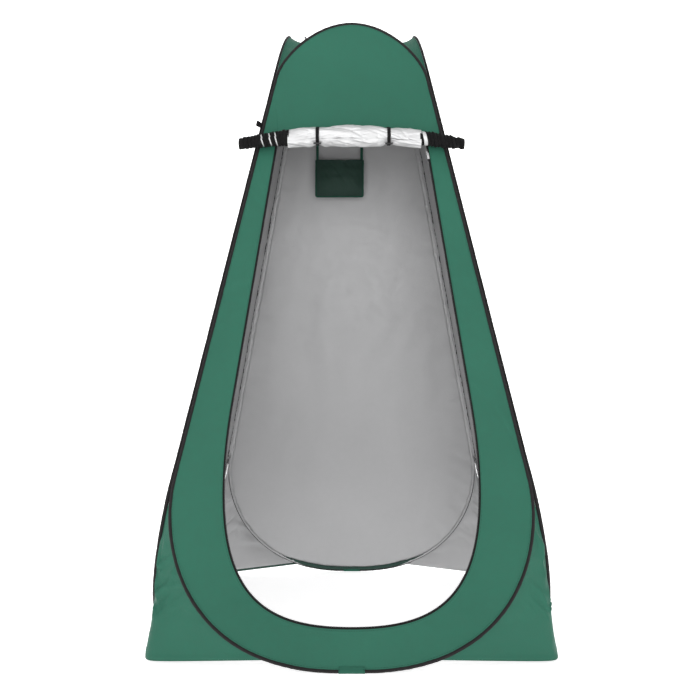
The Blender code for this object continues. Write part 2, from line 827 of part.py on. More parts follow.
def make_pocket(body):
    """A flat back, a baggy front with a hem along its mouth, a binding, and two tapes that hold it."""
    left, right = POCKET_X
    bottom, top = POCKET_Z
    middle = (left + right) / 2
    width = right - left
    height = top - bottom
    bind = POCKET_BIND
    x_axis, y_axis, z_axis = Vector((1, 0, 0)), Vector((0, 1, 0)), Vector((0, 0, 1))
    axes = (x_axis, y_axis, z_axis)

    back_centre = (middle, POCKET_BACK_Y, (bottom + top) / 2 + bind / 2)
    back = box_mesh("pocket_back", back_centre, axes, (width - 2 * bind, CLOTH, height - bind))
    place("pocket_back", back, "dark_green", body)

    columns = 8
    rows = 5
    vertices = []
    for j in range(rows + 1):
        v = j / rows
        for k in range(columns + 1):
            u = -1 + 2 * k / columns
            swell = (1 - u**4) * smoothstep(v * 1.8 + 0.02)
            x = middle + u * (width / 2 - bind - 0.001)
            z = bottom + bind + 0.001 + v * (height - bind - 0.012)
            y = POCKET_BACK_Y - POCKET_FRONT_OFF - (POCKET_DEPTH - POCKET_FRONT_OFF) * swell
            vertices.append((x, y, z))
    wide = columns + 1
    faces = []
    for j in range(rows):
        for k in range(columns):
            a = j * wide + k
            faces.append((a, a + 1, a + 1 + wide, a + wide))
    place("pocket_front", cloth_mesh("pocket_front", vertices, faces), "dark_green", body, thicken=CLOTH)

    hem_up = CLOTH_EDGE_GAP + CLOTH / 2 + POCKET_HEM[0] / 2
    hem_points = [Vector(v) + Vector((0, 0, hem_up)) for v in vertices[-wide:]]
    hem = sweep("pocket_hem", hem_points, [Vector((0, -1, 0))] * wide, strap_section(*POCKET_HEM))
    place("pocket_hem", hem, "dark_green", body)

    rim = [
        Vector((left + bind / 2, POCKET_BACK_Y, top)),
        Vector((left + bind / 2, POCKET_BACK_Y, bottom + bind / 2)),
        Vector((right - bind / 2, POCKET_BACK_Y, bottom + bind / 2)),
        Vector((right - bind / 2, POCKET_BACK_Y, top)),
    ]
    binding = mitred_frame_mesh("pocket_binding", rim, bind / 2 - CLEARANCE, POCKET_BIND_HALF_THICK)
    place("pocket_binding", binding, "dark_green", body)

    for side, x in (("left", left + POCKET_TAPE_INSET), ("right", right - POCKET_TAPE_INSET)):
        foot = Vector((x, POCKET_BACK_Y, top + 2 * CLEARANCE))
        head = Vector((x, POCKET_BACK_Y, POCKET_HANG_Z))
        y_out = [Vector((0, -1, 0))] * 2
        section = strap_section(POCKET_TAPE_WIDTH, POCKET_TAPE_THICK)
        tape = sweep(f"pocket_tape_{side}", [foot, head], y_out, section)
        place(f"pocket_tape_{side}", tape, "dark_green", body)


def mitred_frame_mesh(name, rim, half_width, half_thick):
    """A flat strip round three sides, with square corners."""
    outer = [
        rim[0] + Vector((-half_width, 0, 0)),
        rim[1] + Vector((-half_width, 0, -half_width)),
        rim[2] + Vector((half_width, 0, -half_width)),
        rim[3] + Vector((half_width, 0, 0)),
    ]
    inner = [
        rim[0] + Vector((half_width, 0, 0)),
        rim[1] + Vector((half_width, 0, half_width)),
        rim[2] + Vector((-half_width, 0, half_width)),
        rim[3] + Vector((-half_width, 0, 0)),
    ]
    vertices = []
    for y in (-half_thick, half_thick):
        vertices += [p + Vector((0, y, 0)) for p in outer + inner]
    faces = []
    for base in (0, 8):
        faces += [(base + i, base + i + 1, base + i + 5, base + i + 4) for i in range(3)]
    for start in (0, 4):
        faces += [(start + i, start + i + 1, start + i + 9, start + i + 8) for i in range(3)]
    faces += [(0, 4, 12, 8), (3, 7, 15, 11)]
    return make_mesh(name, vertices, faces)


def edge_axis_point(index, z):
    """A point midway between the two sleeves of a corner. Corner 0 is front right."""
    w = edge_width(z) - SLEEVE_OFF_EDGE / 2
    return Matrix.Rotation(index * QUARTER, 3, "Z") @ Vector((w, -w, z))


def build():
    clear_scene()
    hinge_z = 1.0
    front = empty_at("front_body", Vector((0, 0, 0)))
    left = empty_at("left_body", edge_axis_point(3, hinge_z), front)
    right = empty_at("right_body", edge_axis_point(0, hinge_z), front)
    back = empty_at("back_body", edge_axis_point(2, hinge_z), left)
    bodies = {"front": front, "right": right, "back": back, "left": left}

    meshes = [hoop_meshes(kind) for kind in (FRONT, SIDE)]
    wall_cloths = [wall_cloth_mesh(kind) for kind in (FRONT, SIDE)]
    gussets = [gusset_mesh(kind) for kind in (FRONT, SIDE)]
    for index, side in enumerate(SIDES):
        kind = index % 2
        make_hoop(side, index, bodies[side], meshes[kind])
        if side != "front":
            place(f"{side}_panel", wall_cloths[kind], "green", bodies[side], index, CLOTH)
    place("front_panel", front_cloth_mesh(), "green", front, 0, CLOTH)
    for index, (name, body) in enumerate(
        (("front_right", front), ("back_right", right), ("back_left", left), ("front_left", front))
    ):
        place(f"{name}_gusset", gussets[index % 2], "green", body, index, CLOTH)

    grid = roof_grid()
    place("roof_front_right", roof_half_mesh("roof_front_right", grid, True), "green", front, 0, CLOTH)
    place("roof_back_left", roof_half_mesh("roof_back_left", grid, False), "green", left, 0, CLOTH)

    edge_up = (edge_axis_point(3, EDGE_LOOP_Z + 0.1) - edge_axis_point(3, EDGE_LOOP_Z)).normalized()
    out = Vector((-1, -1, 0)).normalized()
    out = (out - edge_up * out.dot(edge_up)).normalized()
    root = edge_axis_point(3, EDGE_LOOP_Z) + out * 0.0068
    place("edge_loop", webbing_loop_mesh("edge_loop", root, out, edge_up, EDGE_LOOP), "black", front)
    middle = len(grid) // 2
    root = Vector([float(c) for c in grid[middle - 2, 2]]) + Vector((0, 0, ROOF_LOOP_LIFT))
    roof_loop = webbing_loop_mesh("roof_loop", root, Vector((0, 0, 1)), Vector((0, 1, 0)), ROOF_LOOP)
    place("roof_loop", roof_loop, "black", left)

    place("door_zip_tape", zip_tape_mesh(), "black", front)
    stop = clasp_section(0.0003, 0.0008)
    for name, mirror in (("zip_stop_right", 1), ("zip_stop_left", -1)):
        place(name, clasp_mesh(name, STOP_Z, STOP_LENGTH, stop, mirror), "zip_metal", front)
    slider = empty_at("slider_body", on_wall(*side_point(SLIDER_Z)), front)
    make_slider(slider)
    outer_tab = empty_at("outer_tab_body", slider_frame(False)[0], slider)
    inner_tab = empty_at("inner_tab_body", slider_frame(True)[0], slider)
    make_pull_tab("pull_tab_outer", False, outer_tab)
    make_pull_tab("pull_tab_inner", True, inner_tab)

    roll = empty_at("roll_body", Vector((0, *ROLL_AXIS)), front)
    silver_left, silver_right = ROLL_SILVER_ENDS
    place("door_roll", roll_mesh("door_roll", silver_left, silver_right, 9), "silver_cloth", roll)
    wound_left = roll_mesh("wound_zip_left", -ROLL_HALF, silver_left - CLEARANCE, 5)
    wound_right = roll_mesh("wound_zip_right", silver_right + CLEARANCE, ROLL_HALF, 5)
    place("wound_zip_left", wound_left, "black", roll)
    place("wound_zip_right", wound_right, "black", roll)
    place("door_head_flap", head_flap_mesh(), "silver_cloth", roll, thicken=CLOTH)
    for side, x in zip(("left", "right"), TIE_X):
        over = tie_mesh(f"tie_strap_{side}", x, math.radians(105), TOGGLE_ANGLE, 10)
        under = tie_mesh(f"tie_loop_{side}", x, math.radians(160), math.radians(296), 9)
        place(f"tie_strap_{side}", over, "black", roll)
        place(f"tie_loop_{side}", under, "black", roll)
        toggle = empty_at(f"toggle_{side}_body", toggle_pivot(x), roll)
        place(f"toggle_{side}", toggle_mesh(x), "black", toggle)

    pocket = empty_at("pocket_body", Vector((0, POCKET_BACK_Y, POCKET_HANG_Z)), back)
    make_pocket(pocket)


build()
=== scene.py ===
"""The looks of the privacy shower tent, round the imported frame.

Metres, +Z up, the origin on the ground under the middle, the door on the -Y side.
Each wall is drawn once as the front one and turned about Z in quarter turns.
"""

import math

import bmesh
import bpy
import numpy as np
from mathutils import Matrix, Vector


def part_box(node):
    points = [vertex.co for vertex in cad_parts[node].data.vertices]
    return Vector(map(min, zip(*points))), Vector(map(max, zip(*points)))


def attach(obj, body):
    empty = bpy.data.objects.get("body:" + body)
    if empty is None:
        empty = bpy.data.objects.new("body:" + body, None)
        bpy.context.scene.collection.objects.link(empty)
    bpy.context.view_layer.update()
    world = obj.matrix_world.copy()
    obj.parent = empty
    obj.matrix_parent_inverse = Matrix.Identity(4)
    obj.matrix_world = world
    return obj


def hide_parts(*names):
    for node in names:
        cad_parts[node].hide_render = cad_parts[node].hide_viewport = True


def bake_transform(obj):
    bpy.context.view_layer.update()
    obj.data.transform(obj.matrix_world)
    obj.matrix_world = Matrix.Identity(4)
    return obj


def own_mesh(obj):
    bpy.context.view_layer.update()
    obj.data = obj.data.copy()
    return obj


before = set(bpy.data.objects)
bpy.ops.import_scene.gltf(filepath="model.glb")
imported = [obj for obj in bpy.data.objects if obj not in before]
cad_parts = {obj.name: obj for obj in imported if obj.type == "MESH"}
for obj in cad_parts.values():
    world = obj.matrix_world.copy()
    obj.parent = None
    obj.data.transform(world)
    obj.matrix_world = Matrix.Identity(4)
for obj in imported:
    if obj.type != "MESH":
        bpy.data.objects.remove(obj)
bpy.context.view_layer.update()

# The walls and hoops, as the frame has them. The side walls have no flare at the foot, and stand higher.
FRONT, SIDE = 0, 1
HEIGHTS = (1.90, 1.95)
FLARES = (0.043, 0.0)
EDGE_AT_GROUND = 0.585
EDGE_LEAN = 0.1986
LOWER_SPLIT_Z = 0.472
UPPER_SPLIT_Z = 1.70
DOME_REACH = 0.012
SLEEVE_RADIUS = 0.0052
COVER_LENGTH = 0.066
PATCH_RADIUS = 0.0049
PATCH_LEG = 0.011
SLEEVE_OFF_EDGE = 0.0082
LOW_ARC_PULLS = (0.386, 0.176)
DOME_PULLS = (0.088, 0.107)
BASE_Z = 0.0056 * math.cos(math.pi / 8)

# The door opening, its zip, and the roll that hangs along its head.
DOOR_HEAD_CORNER = (0.2279, 1.517)
DOOR_HEAD_Z = 1.536
DOOR_SIDE_LEAN = 0.1297
DOOR_ARC_Z = 0.6815
DOOR_SILL_Z = 0.102
DOOR_ARC_PULLS = (0.505, 0.243)
TAPE_WIDTH = 0.0035
TEETH_WIDTH = 0.0025
TEETH_PITCH = 0.0026
TAPE_TOP_Z = 1.490
ROLL_HALF = 0.341
ROLL_SILVER_ENDS = (-0.190, 0.207)
ROLL_MID = (-0.314, 1.498)
ROLL_END_DROP = 0.034
ROLL_END_FORWARD = 0.013
ROLL_RADII = (0.0310, 0.0175)
TIE_X = (-0.104, 0.113)
TIE_WIDTH = 0.0105
TOGGLE_LENGTH = 0.024
TOGGLE_RADIUS = 0.0027
TOGGLE_ANGLE = math.radians(-62)
FLAP_CONTACT = math.radians(64)
FREE_EDGE = math.radians(-38)
SILVER_GIRTH = 0.028
TAPE_GIRTH = 0.024
SPIRAL_PITCH = 0.0031

# The corners and the roof.
CORNER_TIP = (0.536, 0.006)
GUSSET_TOP_Z = 0.385
GUSSET_TOP_INSET = 0.010
GUSSET_FOOT_X = 0.215
RIDGE_SAG = 0.033
EDGE_LOOP_Z = 1.536

# Inside each wall: the dark binding along its foot, and the silver allowance of its seam.
HEM_REACH = 0.30
HEM_WIDTH = 0.0085
LINING_START_X = 0.19
LINING_WIDTH = 0.0088
LINING_PUCKER = 0.0042

# The heights where a whole wall's rings close on its middle line, for its foot, low arc, side and dome.
SPINE_HEIGHTS = (0.30, 0.50, 1.52, 1.68)

# How finely the cloth is drawn.
FOOT_STEPS = 5
LOW_STEPS = 120
SIDE_STEPS = 200
DOME_STEPS = 66
CLOTH = 0.0006
TUCK = 0.0030
SLEEVE_SHOWN = 0.0046
SLEEVE_THICK = 0.0044
SHARP_ANGLE = math.radians(50)

SIDES = ("front", "right", "back", "left")
CORNERS = (
    ("front_right", "front_wall", "right_wall"),
    ("back_right", "right_wall", "back_wall"),
    ("back_left", "left_wall", "back_wall"),
    ("front_left", "front_wall", "left_wall"),
)
OPEN_CORNER = "back_right"
UP = np.array((0.0, 0.0, 1.0))
FORWARDS = np.array((0.0, -1.0, 0.0))


# ---- Small tools ----


def smoothstep(t):
    t = np.clip(t, 0.0, 1.0)
    return t * t * (3 - 2 * t)


def vec(*parts):
    """Points or directions from their coordinates, each a number or an array, spread to one shape."""
    return np.stack(np.broadcast_arrays(*parts), -1)


def unit(vectors):
    return vectors / np.linalg.norm(vectors, axis=-1, keepdims=True)


def bumps(x, y, cell, seed):
    """Soft random bumps from -1 to 1 over a plane. cell is their size, one for both ways or one for each."""
    cell_x, cell_y = cell if isinstance(cell, tuple) else (cell, cell)
    size = 128
    lattice = np.random.default_rng(seed).uniform(-1, 1, (size, size))
    gx, gy = np.broadcast_arrays(np.asarray(x) / cell_x + 31.7, np.asarray(y) / cell_y + 17.3)
    ix, iy = np.floor(gx).astype(int), np.floor(gy).astype(int)
    fx, fy = gx - ix, gy - iy
    fx, fy = fx * fx * (3 - 2 * fx), fy * fy * (3 - 2 * fy)
    ix, iy, jx, jy = ix % size, iy % size, (ix + 1) % size, (iy + 1) % size
    near = lattice[ix, iy] * (1 - fx) + lattice[jx, iy] * fx
    far = lattice[ix, jy] * (1 - fx) + lattice[jx, jy] * fx
    return near * (1 - fy) + far * fy


def turned(points, quarter_turns):
    """Points of the front wall, turned about Z to another one."""
    angle = quarter_turns * math.pi / 2
    c, s = round(math.cos(angle)), round(math.sin(angle))
    return points @ np.array(((c, s, 0), (-s, c, 0), (0, 0, 1)), float)


def lengths_along(points):
    """The distance along a line of points, at each of them."""
    steps = np.linalg.norm(np.diff(points, axis=0), axis=-1)
    return np.concatenate([[0.0], np.cumsum(steps)])


def grid_faces(rows, columns, wrap_columns=False):
    """The corners of each face of a grid of points, closed round its columns if they wrap."""
    row = np.arange(rows - 1)[:, None]
    column = np.arange(columns if wrap_columns else columns - 1)[None, :]
    next_column = (column + 1) % columns
    near, far = row * columns, (row + 1) * columns
    corners = (near + column, near + next_column, far + next_column, far + column)
    return np.stack([np.broadcast_to(c, (len(row), column.shape[1])) for c in corners], -1).reshape(-1, 4)


def new_mesh(name, points, faces, uv=None, seam=None):
    """A smooth mesh, with UV maps in metres: cloth for the weave and seam for what follows its edge."""
    mesh = bpy.data.meshes.new(name)
    faces = faces.tolist() if isinstance(faces, np.ndarray) else faces
    mesh.from_pydata(np.asarray(points).reshape(-1, 3).tolist(), [], faces)
    corner = np.empty(len(mesh.loops), np.int32)
    mesh.loops.foreach_get("vertex_index", corner)
    for layer, values in (("cloth", uv), ("seam", seam)):
        if values is not None:
            flat = np.asarray(values).reshape(-1, 2)[corner].astype(np.float32)
            mesh.uv_layers.new(name=layer).data.foreach_set("uv", flat.ravel())
    mesh.shade_smooth()
    return mesh


def join_doubles(mesh, distance):
    shape = bmesh.new()
    shape.from_mesh(mesh)
    bmesh.ops.remove_doubles(shape, verts=shape.verts, dist=distance)
    shape.to_mesh(mesh)
    shape.free()


def add_piece(name, mesh, materials, replaces=(), body=None):
    obj = bpy.data.objects.new(name, mesh)
    bpy.context.scene.collection.objects.link(obj)
    for material in materials:
        obj.data.materials.append(material)
    if replaces:
        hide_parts(*replaces)
    if body:
        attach(obj, body)
    return obj


def face_along(mesh, way):
    """Turns a mesh's faces so that, taken together, they point along way."""
    if sum(polygon.normal.dot(Vector(way)) for polygon in mesh.polygons) < 0:
        mesh.flip_normals()


def face_out(obj):
    """Turns a cloth's faces so that their normals point away from the tent's middle."""
    mesh = obj.data
    middle = mesh.polygons[len(mesh.polygons) // 2]
    away = middle.center - Vector((0, 0, middle.center.z if abs(middle.center.z) < 1.5 else 1.0))
    if middle.normal.dot(away) < 0:
        mesh.flip_normals()


def blend_across(obj):
    """Bakes a cloth's placement into its mesh, between two walls."""
    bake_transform(obj)


def blend_corner(obj):
    """Bakes a corner cloth's placement into its mesh."""
    blend_across(obj)


def two_faced(obj, thickness=CLOTH):
    """Gives a cloth its thickness inwards, with its second material as the inner face."""
    solidify = obj.modifiers.new("cloth", "SOLIDIFY")
    solidify.thickness = thickness
    solidify.offset = -1
    solidify.material_offset = 1 if len(obj.data.materials) > 1 else 0


def tube_mesh(name, points, across, up, section):
    """A section carried along a route, capped. It is (sides, 2), or (stations, sides, 2) where it changes."""
    section = np.broadcast_to(section, (len(points), *np.shape(section)[-2:]))
    ring = points[:, None] + across[:, None] * section[..., :1] + up[:, None] * section[..., 1:]
    rows, sides = ring.shape[:2]
    faces = grid_faces(rows, sides, wrap_columns=True)[:, ::-1].tolist()
    faces += [list(range(sides)), list(range((rows - 1) * sides, rows * sides))[::-1]]
    along = lengths_along(points)[:, None]
    girth = np.linspace(0, 1, sides)[None, :] * np.linalg.norm(np.ptp(section[0], axis=0)) * 2
    uv = vec(along, girth)
    mesh = new_mesh(name, ring, faces, uv)
    mesh.set_sharp_from_angle(angle=SHARP_ANGLE)
    return mesh


def frames_of(points, normals):
    """(across, up) along a route, square to it, with up near the given normals."""
    along = unit(np.gradient(points, axis=0))
    up = unit(normals - along * (normals * along).sum(-1, keepdims=True))
    return np.cross(along, up), up


def oval(width, thick, sides=12, power=2.0):
    """A section that is an ellipse at power 2, and squarer above it."""
    angle = np.arange(sides) * 2 * math.pi / sides
    c, s = np.cos(angle), np.sin(angle)
    shape = 2 / power
    return vec(width * np.sign(c) * abs(c) ** shape, thick * np.sign(s) * abs(s) ** shape) / 2


# ---- Materials ----


class Shader:
    """One material's nodes."""

    def __init__(self, name):
        self.material = bpy.data.materials.new(name)
        self.material.use_nodes = True
        self.tree = self.material.node_tree
        self.surface = self.tree.nodes["Principled BSDF"]

    def node(self, kind, inputs, output=0, **settings):
        made = self.tree.nodes.new("ShaderNode" + kind)
        for key, value in settings.items():
            setattr(made, key, value)
        for key, value in inputs.items():
            self.feed(made.inputs[key], value)
        return made.outputs[output]

    def feed(self, socket, value):
        if isinstance(value, bpy.types.NodeSocket):
            self.tree.links.new(value, socket)
        else:
            socket.default_value = value

    def math(self, operation, *values):
        return self.node("Math", dict(enumerate(values)), operation=operation)

    def place(self):
        return self.node("TexCoord", {}, output="Object")

    def uv(self, layer):
        return self.node("SeparateXYZ", {0: self.node("UVMap", {}, uv_map=layer)}).node.outputs

    def noise(self, scale, detail=2.0, kind="FBM", where=None, distortion=0.0):
        where = where or self.place()
        inputs = {"Vector": where, "Scale": scale, "Detail": detail, "Distortion": distortion}
        return self.node("TexNoise", inputs, noise_type=kind)

    def mix(self, factor, a, b):
        made = self.tree.nodes.new("ShaderNodeMix")
        made.data_type = "RGBA"
        for socket, value in zip((made.inputs[0], made.inputs[6], made.inputs[7]), (factor, a, b)):
            self.feed(socket, value)
        return made.outputs[2]

    def set(self, **values):
        for key, value in values.items():
            self.feed(self.surface.inputs[key.replace("_", " ").title().replace("Ior", "IOR")], value)

    def ranged(self, value, low, high, at_low=0.0, at_high=1.0):
        return self.node("MapRange", {0: value, 1: at_low, 2: at_high, 3: low, 4: high})

    def bump(self, height, distance, strength=1.0):
        inputs = {"Height": height, "Distance": distance, "Strength": strength}
        self.feed(self.surface.inputs["Normal"], self.node("Bump", inputs))


def tint(colour, share):
    return (*(min(1.0, c * share) for c in colour), 1.0)


def woven(shader, pitch):
    """A plain weave's height: threads over and under, pitch metres apart."""
    u, v = shader.uv("cloth")[:2]
    turn = 2 * math.pi / pitch
    over = shader.math("SINE", shader.math("MULTIPLY", u, turn))
    under = shader.math("SINE", shader.math("MULTIPLY", v, turn))
    return shader.math("MULTIPLY", over, under)


def stitches(shader, lines, pitch=0.0038, width=0.0007):
    """1 on the stitches of each line, given by its distances from the cloth's edge."""
    along, off_edge = shader.uv("seam")[:2]
    dash = shader.math("LESS_THAN", shader.math("PINGPONG", along, pitch), pitch * 0.68)
    found = None
    for line in lines:
        on_line = shader.math("COMPARE", off_edge, line, width / 2)
        found = on_line if found is None else shader.math("MAXIMUM", found, on_line)
    return shader.math("MULTIPLY", found, dash)


def cloth_material(
    name, colour, rough=0.6, pitch=0.0007, mottle=0.07, crease=0.25, lines=(), thread=0.6, **shine
):
    """A woven synthetic: its threads, a little unevenness, small creases, and stitches beside its seam."""
    shader = Shader(name)
    wide = shader.noise(2.6, 3)
    fine = shader.noise(55, 3)
    uneven = shader.math("ADD", shader.math("MULTIPLY", wide, 0.7), shader.math("MULTIPLY", fine, 0.3))
    shade = shader.ranged(uneven, 0.0, 1.0, 0.3, 0.7)
    base = shader.mix(shade, tint(colour, 1 - mottle), tint(colour, 1 + mottle))
    height = shader.math("MULTIPLY", woven(shader, pitch), 0.25)
    small = shader.noise(26, 4, "RIDGED_MULTIFRACTAL", distortion=0.4)
    height = shader.math("ADD", height, shader.math("MULTIPLY", small, crease))
    if lines:
        sewn = stitches(shader, lines)
        base = shader.mix(sewn, base, tint(colour, thread))
        height = shader.math("SUBTRACT", height, shader.math("MULTIPLY", sewn, 1.2))
    roughness = shader.ranged(fine, rough - 0.06, rough + 0.06, 0.3, 0.7)
    shader.set(base_color=base, roughness=roughness, **shine)
    shader.bump(height, 0.00035)
    return shader.material


def webbing_material(name, colour, rough=0.75, rib=0.0016):
    """Ribbed webbing, with a herringbone of light and dark threads."""
    shader = Shader(name)
    u, v = shader.uv("cloth")[:2]
    rows = shader.math("SINE", shader.math("MULTIPLY", u, 2 * math.pi / rib))
    slanting = shader.math("MULTIPLY", shader.math("ADD", u, v), 2 * math.pi / (rib * 1.4))
    slant = shader.math("SINE", slanting)
    weave = shader.math("MULTIPLY", rows, slant)
    fuzz = shader.noise(180, 3)
    shade = shader.ranged(shader.math("ADD", weave, fuzz), 0.0, 1.0, -1.0, 2.0)
    shader.set(
        base_color=shader.mix(shade, tint(colour, 0.75), tint(colour, 1.5)),
        roughness=shader.ranged(fuzz, rough - 0.08, rough + 0.08, 0.3, 0.7),
        specular_ior_level=0.2,
    )
    shader.bump(shader.math("ADD", weave, fuzz), 0.0003)
    return shader.material


def metal_material(name, colour, rough):
    """Cast or drawn metal, lightly scratched."""
    shader = Shader(name)
    grain = shader.noise(240, 4)
    worn = shader.noise(60, 5, "RIDGED_MULTIFRACTAL")
    shade = shader.ranged(grain, 0.0, 1.0, 0.35, 0.65)
    shader.set(
        base_color=shader.mix(shade, tint(colour, 0.86), tint(colour, 1.05)),
        roughness=shader.ranged(worn, rough * 0.8, rough * 1.4, 0.2, 0.9),
        metallic=1.0,
    )
    shader.bump(shader.math("ADD", grain, worn), 0.00006)
    return shader.material


def plastic_material(name, colour, rough):
    """Moulded plastic with a fine grain."""
    shader = Shader(name)
    grain = shader.noise(420, 3)
    shade = shader.ranged(grain, 0.0, 1.0, 0.3, 0.7)
    shader.set(
        base_color=shader.mix(shade, tint(colour, 0.85), tint(colour, 1.25)),
        roughness=shader.ranged(grain, rough - 0.07, rough + 0.07, 0.3, 0.7),
    )
    shader.bump(grain, 0.00008)
    return shader.material


GREEN = (0.0225, 0.122, 0.080)
HEM_LINES = (0.0045,)
green = cloth_material(
    "green_cloth", GREEN, rough=0.60, crease=0.7, mottle=0.10,
    lines=HEM_LINES, thread=0.45, specular_ior_level=0.22,
)
green_patch = cloth_material(
    "green_patch", (0.019, 0.103, 0.068), rough=0.65,
    lines=(0.003,), thread=0.4, specular_ior_level=0.2,
)
dark_hem = cloth_material("dark_green_hem", (0.011, 0.045, 0.032), rough=0.7)
pocket_green = cloth_material("pocket_cloth", (0.0125, 0.043, 0.030), rough=0.72, crease=0.4, mottle=0.12)
binding_green = webbing_material("pocket_binding_cloth", (0.014, 0.072, 0.048))
black_sleeve = cloth_material(
    "black_sleeve", (0.0120, 0.0105, 0.0112), rough=0.66, crease=0.5, specular_ior_level=0.25,
)
black_webbing = webbing_material("black_webbing", (0.0060, 0.0056, 0.0060))
zip_black = webbing_material("zip_tape", (0.0060, 0.0056, 0.0060), rough=0.7, rib=0.0011)
teeth_black = plastic_material("zip_teeth", (0.010, 0.010, 0.011), 0.35)
silver = cloth_material(
    "silver_coating", (0.44, 0.44, 0.445), rough=0.42, crease=0.9, mottle=0.05, metallic=0.35,
    lines=HEM_LINES, thread=0.62,
)
# The roll's silver: the walls' silver coating painted lighter, as painted light for the light that falls on
# the roll, its flap and the silver turns of its zip
roll_silver_painted_light = cloth_material(
    "silver_roll_painted_light", (0.63, 0.63, 0.635), rough=0.34, crease=0.9, mottle=0.05, metallic=0.45,
)
steel = metal_material("spring_steel", (0.45, 0.45, 0.46), 0.32)
zip_metal = metal_material("zip_metal", (0.82, 0.82, 0.83), 0.26)
toggle_plastic = plastic_material("toggle_plastic", (0.011, 0.011, 0.012), 0.38)


# ---- The outlines of a wall ----


def edge_width(z):
    return EDGE_AT_GROUND - EDGE_LEAN * z


def dome_top(kind):
    return HEIGHTS[kind] - SLEEVE_RADIUS


def wall_depth(z, kind=FRONT):
    foot = FLARES[kind] * smoothstep(1 - z / LOWER_SPLIT_Z)
    dome = DOME_REACH * smoothstep((z - UPPER_SPLIT_Z) / (HEIGHTS[kind] - UPPER_SPLIT_Z))
    return edge_width(z) + foot + dome


def wall_normal(z, kind=FRONT):
    step = 0.001
    slope = (wall_depth(z + step, kind) - wall_depth(z - step, kind)) / (2 * step)
    return unit(vec(0, -1, -slope))


def on_wall(flat, out=0.0, kind=FRONT):
    """Points of a wall on the -Y side from its own width and height, and out along its normal."""
    flat = np.asarray(flat, float)
    x, z = flat[..., 0], flat[..., 1]
    out = np.broadcast_to(out, x.shape)
    return vec(x, -wall_depth(z, kind), z) + wall_normal(z, kind) * out[..., None]


def cubic(a, b, c, d, t):
    """The points at t on cubic curves from a to d, pulled towards b and c."""
    return (1 - t) ** 3 * a + 3 * t * (1 - t) ** 2 * b + 3 * t * t * (1 - t) * c + t**3 * d


def bezier(a, b, c, d, steps):
    """Points of a cubic curve after its start."""
    return cubic(*(np.asarray(p, float) for p in (a, b, c, d)), (np.arange(1, steps + 1) / steps)[:, None])


def line(a, b, steps):
    """Points of a straight run after its start."""
    return np.linspace(a, b, steps + 1)[1:]


def edge_point(z):
    return np.array((edge_width(z) - SLEEVE_OFF_EDGE, z))


LOW = edge_point(LOWER_SPLIT_Z)
HIGH = edge_point(UPPER_SPLIT_Z)
EDGE_UP = np.array((-EDGE_LEAN, 1.0)) / math.hypot(1, EDGE_LEAN)
FOOT = np.array((COVER_LENGTH / 2, BASE_Z))


def low_arc(steps):
    return bezier(FOOT, FOOT + (LOW_ARC_PULLS[0], 0), LOW - EDGE_UP * LOW_ARC_PULLS[1], LOW, steps)


def hoop_half(kind):
    """The +X half of a hoop's centreline, from the middle of its foot up to the top of its dome."""
    start = np.array((0.0, BASE_Z))
    top = np.array((0.0, dome_top(kind)))
    dome = bezier(HIGH, HIGH + EDGE_UP * DOME_PULLS[0], top + (DOME_PULLS[1], 0), top, DOME_STEPS)
    parts = [[start], line(start, FOOT, FOOT_STEPS), low_arc(LOW_STEPS), line(LOW, HIGH, SIDE_STEPS), dome]
    return np.vstack(parts)


def head_z(x):
    """The height of the opening's head, a shallow arch."""
    return DOOR_HEAD_Z - (DOOR_HEAD_Z - DOOR_HEAD_CORNER[1]) * (x / DOOR_HEAD_CORNER[0]) ** 2


def door_half():
    """The +X half of the opening, with a point for each of the hoop's."""
    corner = np.array(DOOR_HEAD_CORNER)
    side = np.array((corner[0] + DOOR_SIDE_LEAN * (corner[1] - DOOR_ARC_Z), DOOR_ARC_Z))
    down = np.array((DOOR_SIDE_LEAN, -1.0)) / math.hypot(1, DOOR_SIDE_LEAN)
    sill = np.array((0.0, DOOR_SILL_Z))
    sill_pull = sill + (DOOR_ARC_PULLS[1], 0)
    arc = bezier(sill, sill_pull, side + down * DOOR_ARC_PULLS[0], side, FOOT_STEPS + LOW_STEPS)
    across = np.linspace(corner[0], 0.0, DOME_STEPS + 1)[1:]
    head = vec(across, head_z(across))
    return np.vstack([[sill], arc, line(side, corner, SIDE_STEPS), head])


def spine_half():
    """The middle line of a whole wall, where its rings of cloth close up."""
    low = FOOT_STEPS + LOW_STEPS
    high = low + SIDE_STEPS
    top = high + DOME_STEPS
    heights = np.interp(np.arange(1 + top), (0, low, high, top), SPINE_HEIGHTS)
    return vec(0, heights)


def inwards(half):
    """At each point of a half outline, the direction towards the inside, in the wall's own plane."""
    step = np.gradient(half, axis=0)
    step[0] = (1, 0)
    step[-1] = (-1, 0)
    step = unit(step)
    return vec(-step[:, 1], step[:, 0])


def inset(half, distance):
    return half + inwards(half) * distance


def closed(half, flip=(-1, 1)):
    """A half outline and its mirror image, as one loop."""
    return np.vstack([half, half[-2:0:-1] * flip])


HOOPS = [hoop_half(kind) for kind in (FRONT, SIDE)]
DOOR = door_half()


def inwards_3d(flat, direction, kind=FRONT):
    """A direction in the wall's own plane, as one in space."""
    step = 0.0005
    return unit(on_wall(flat + direction * step, kind=kind) - on_wall(flat - direction * step, kind=kind))


# ---- The cloth walls ----


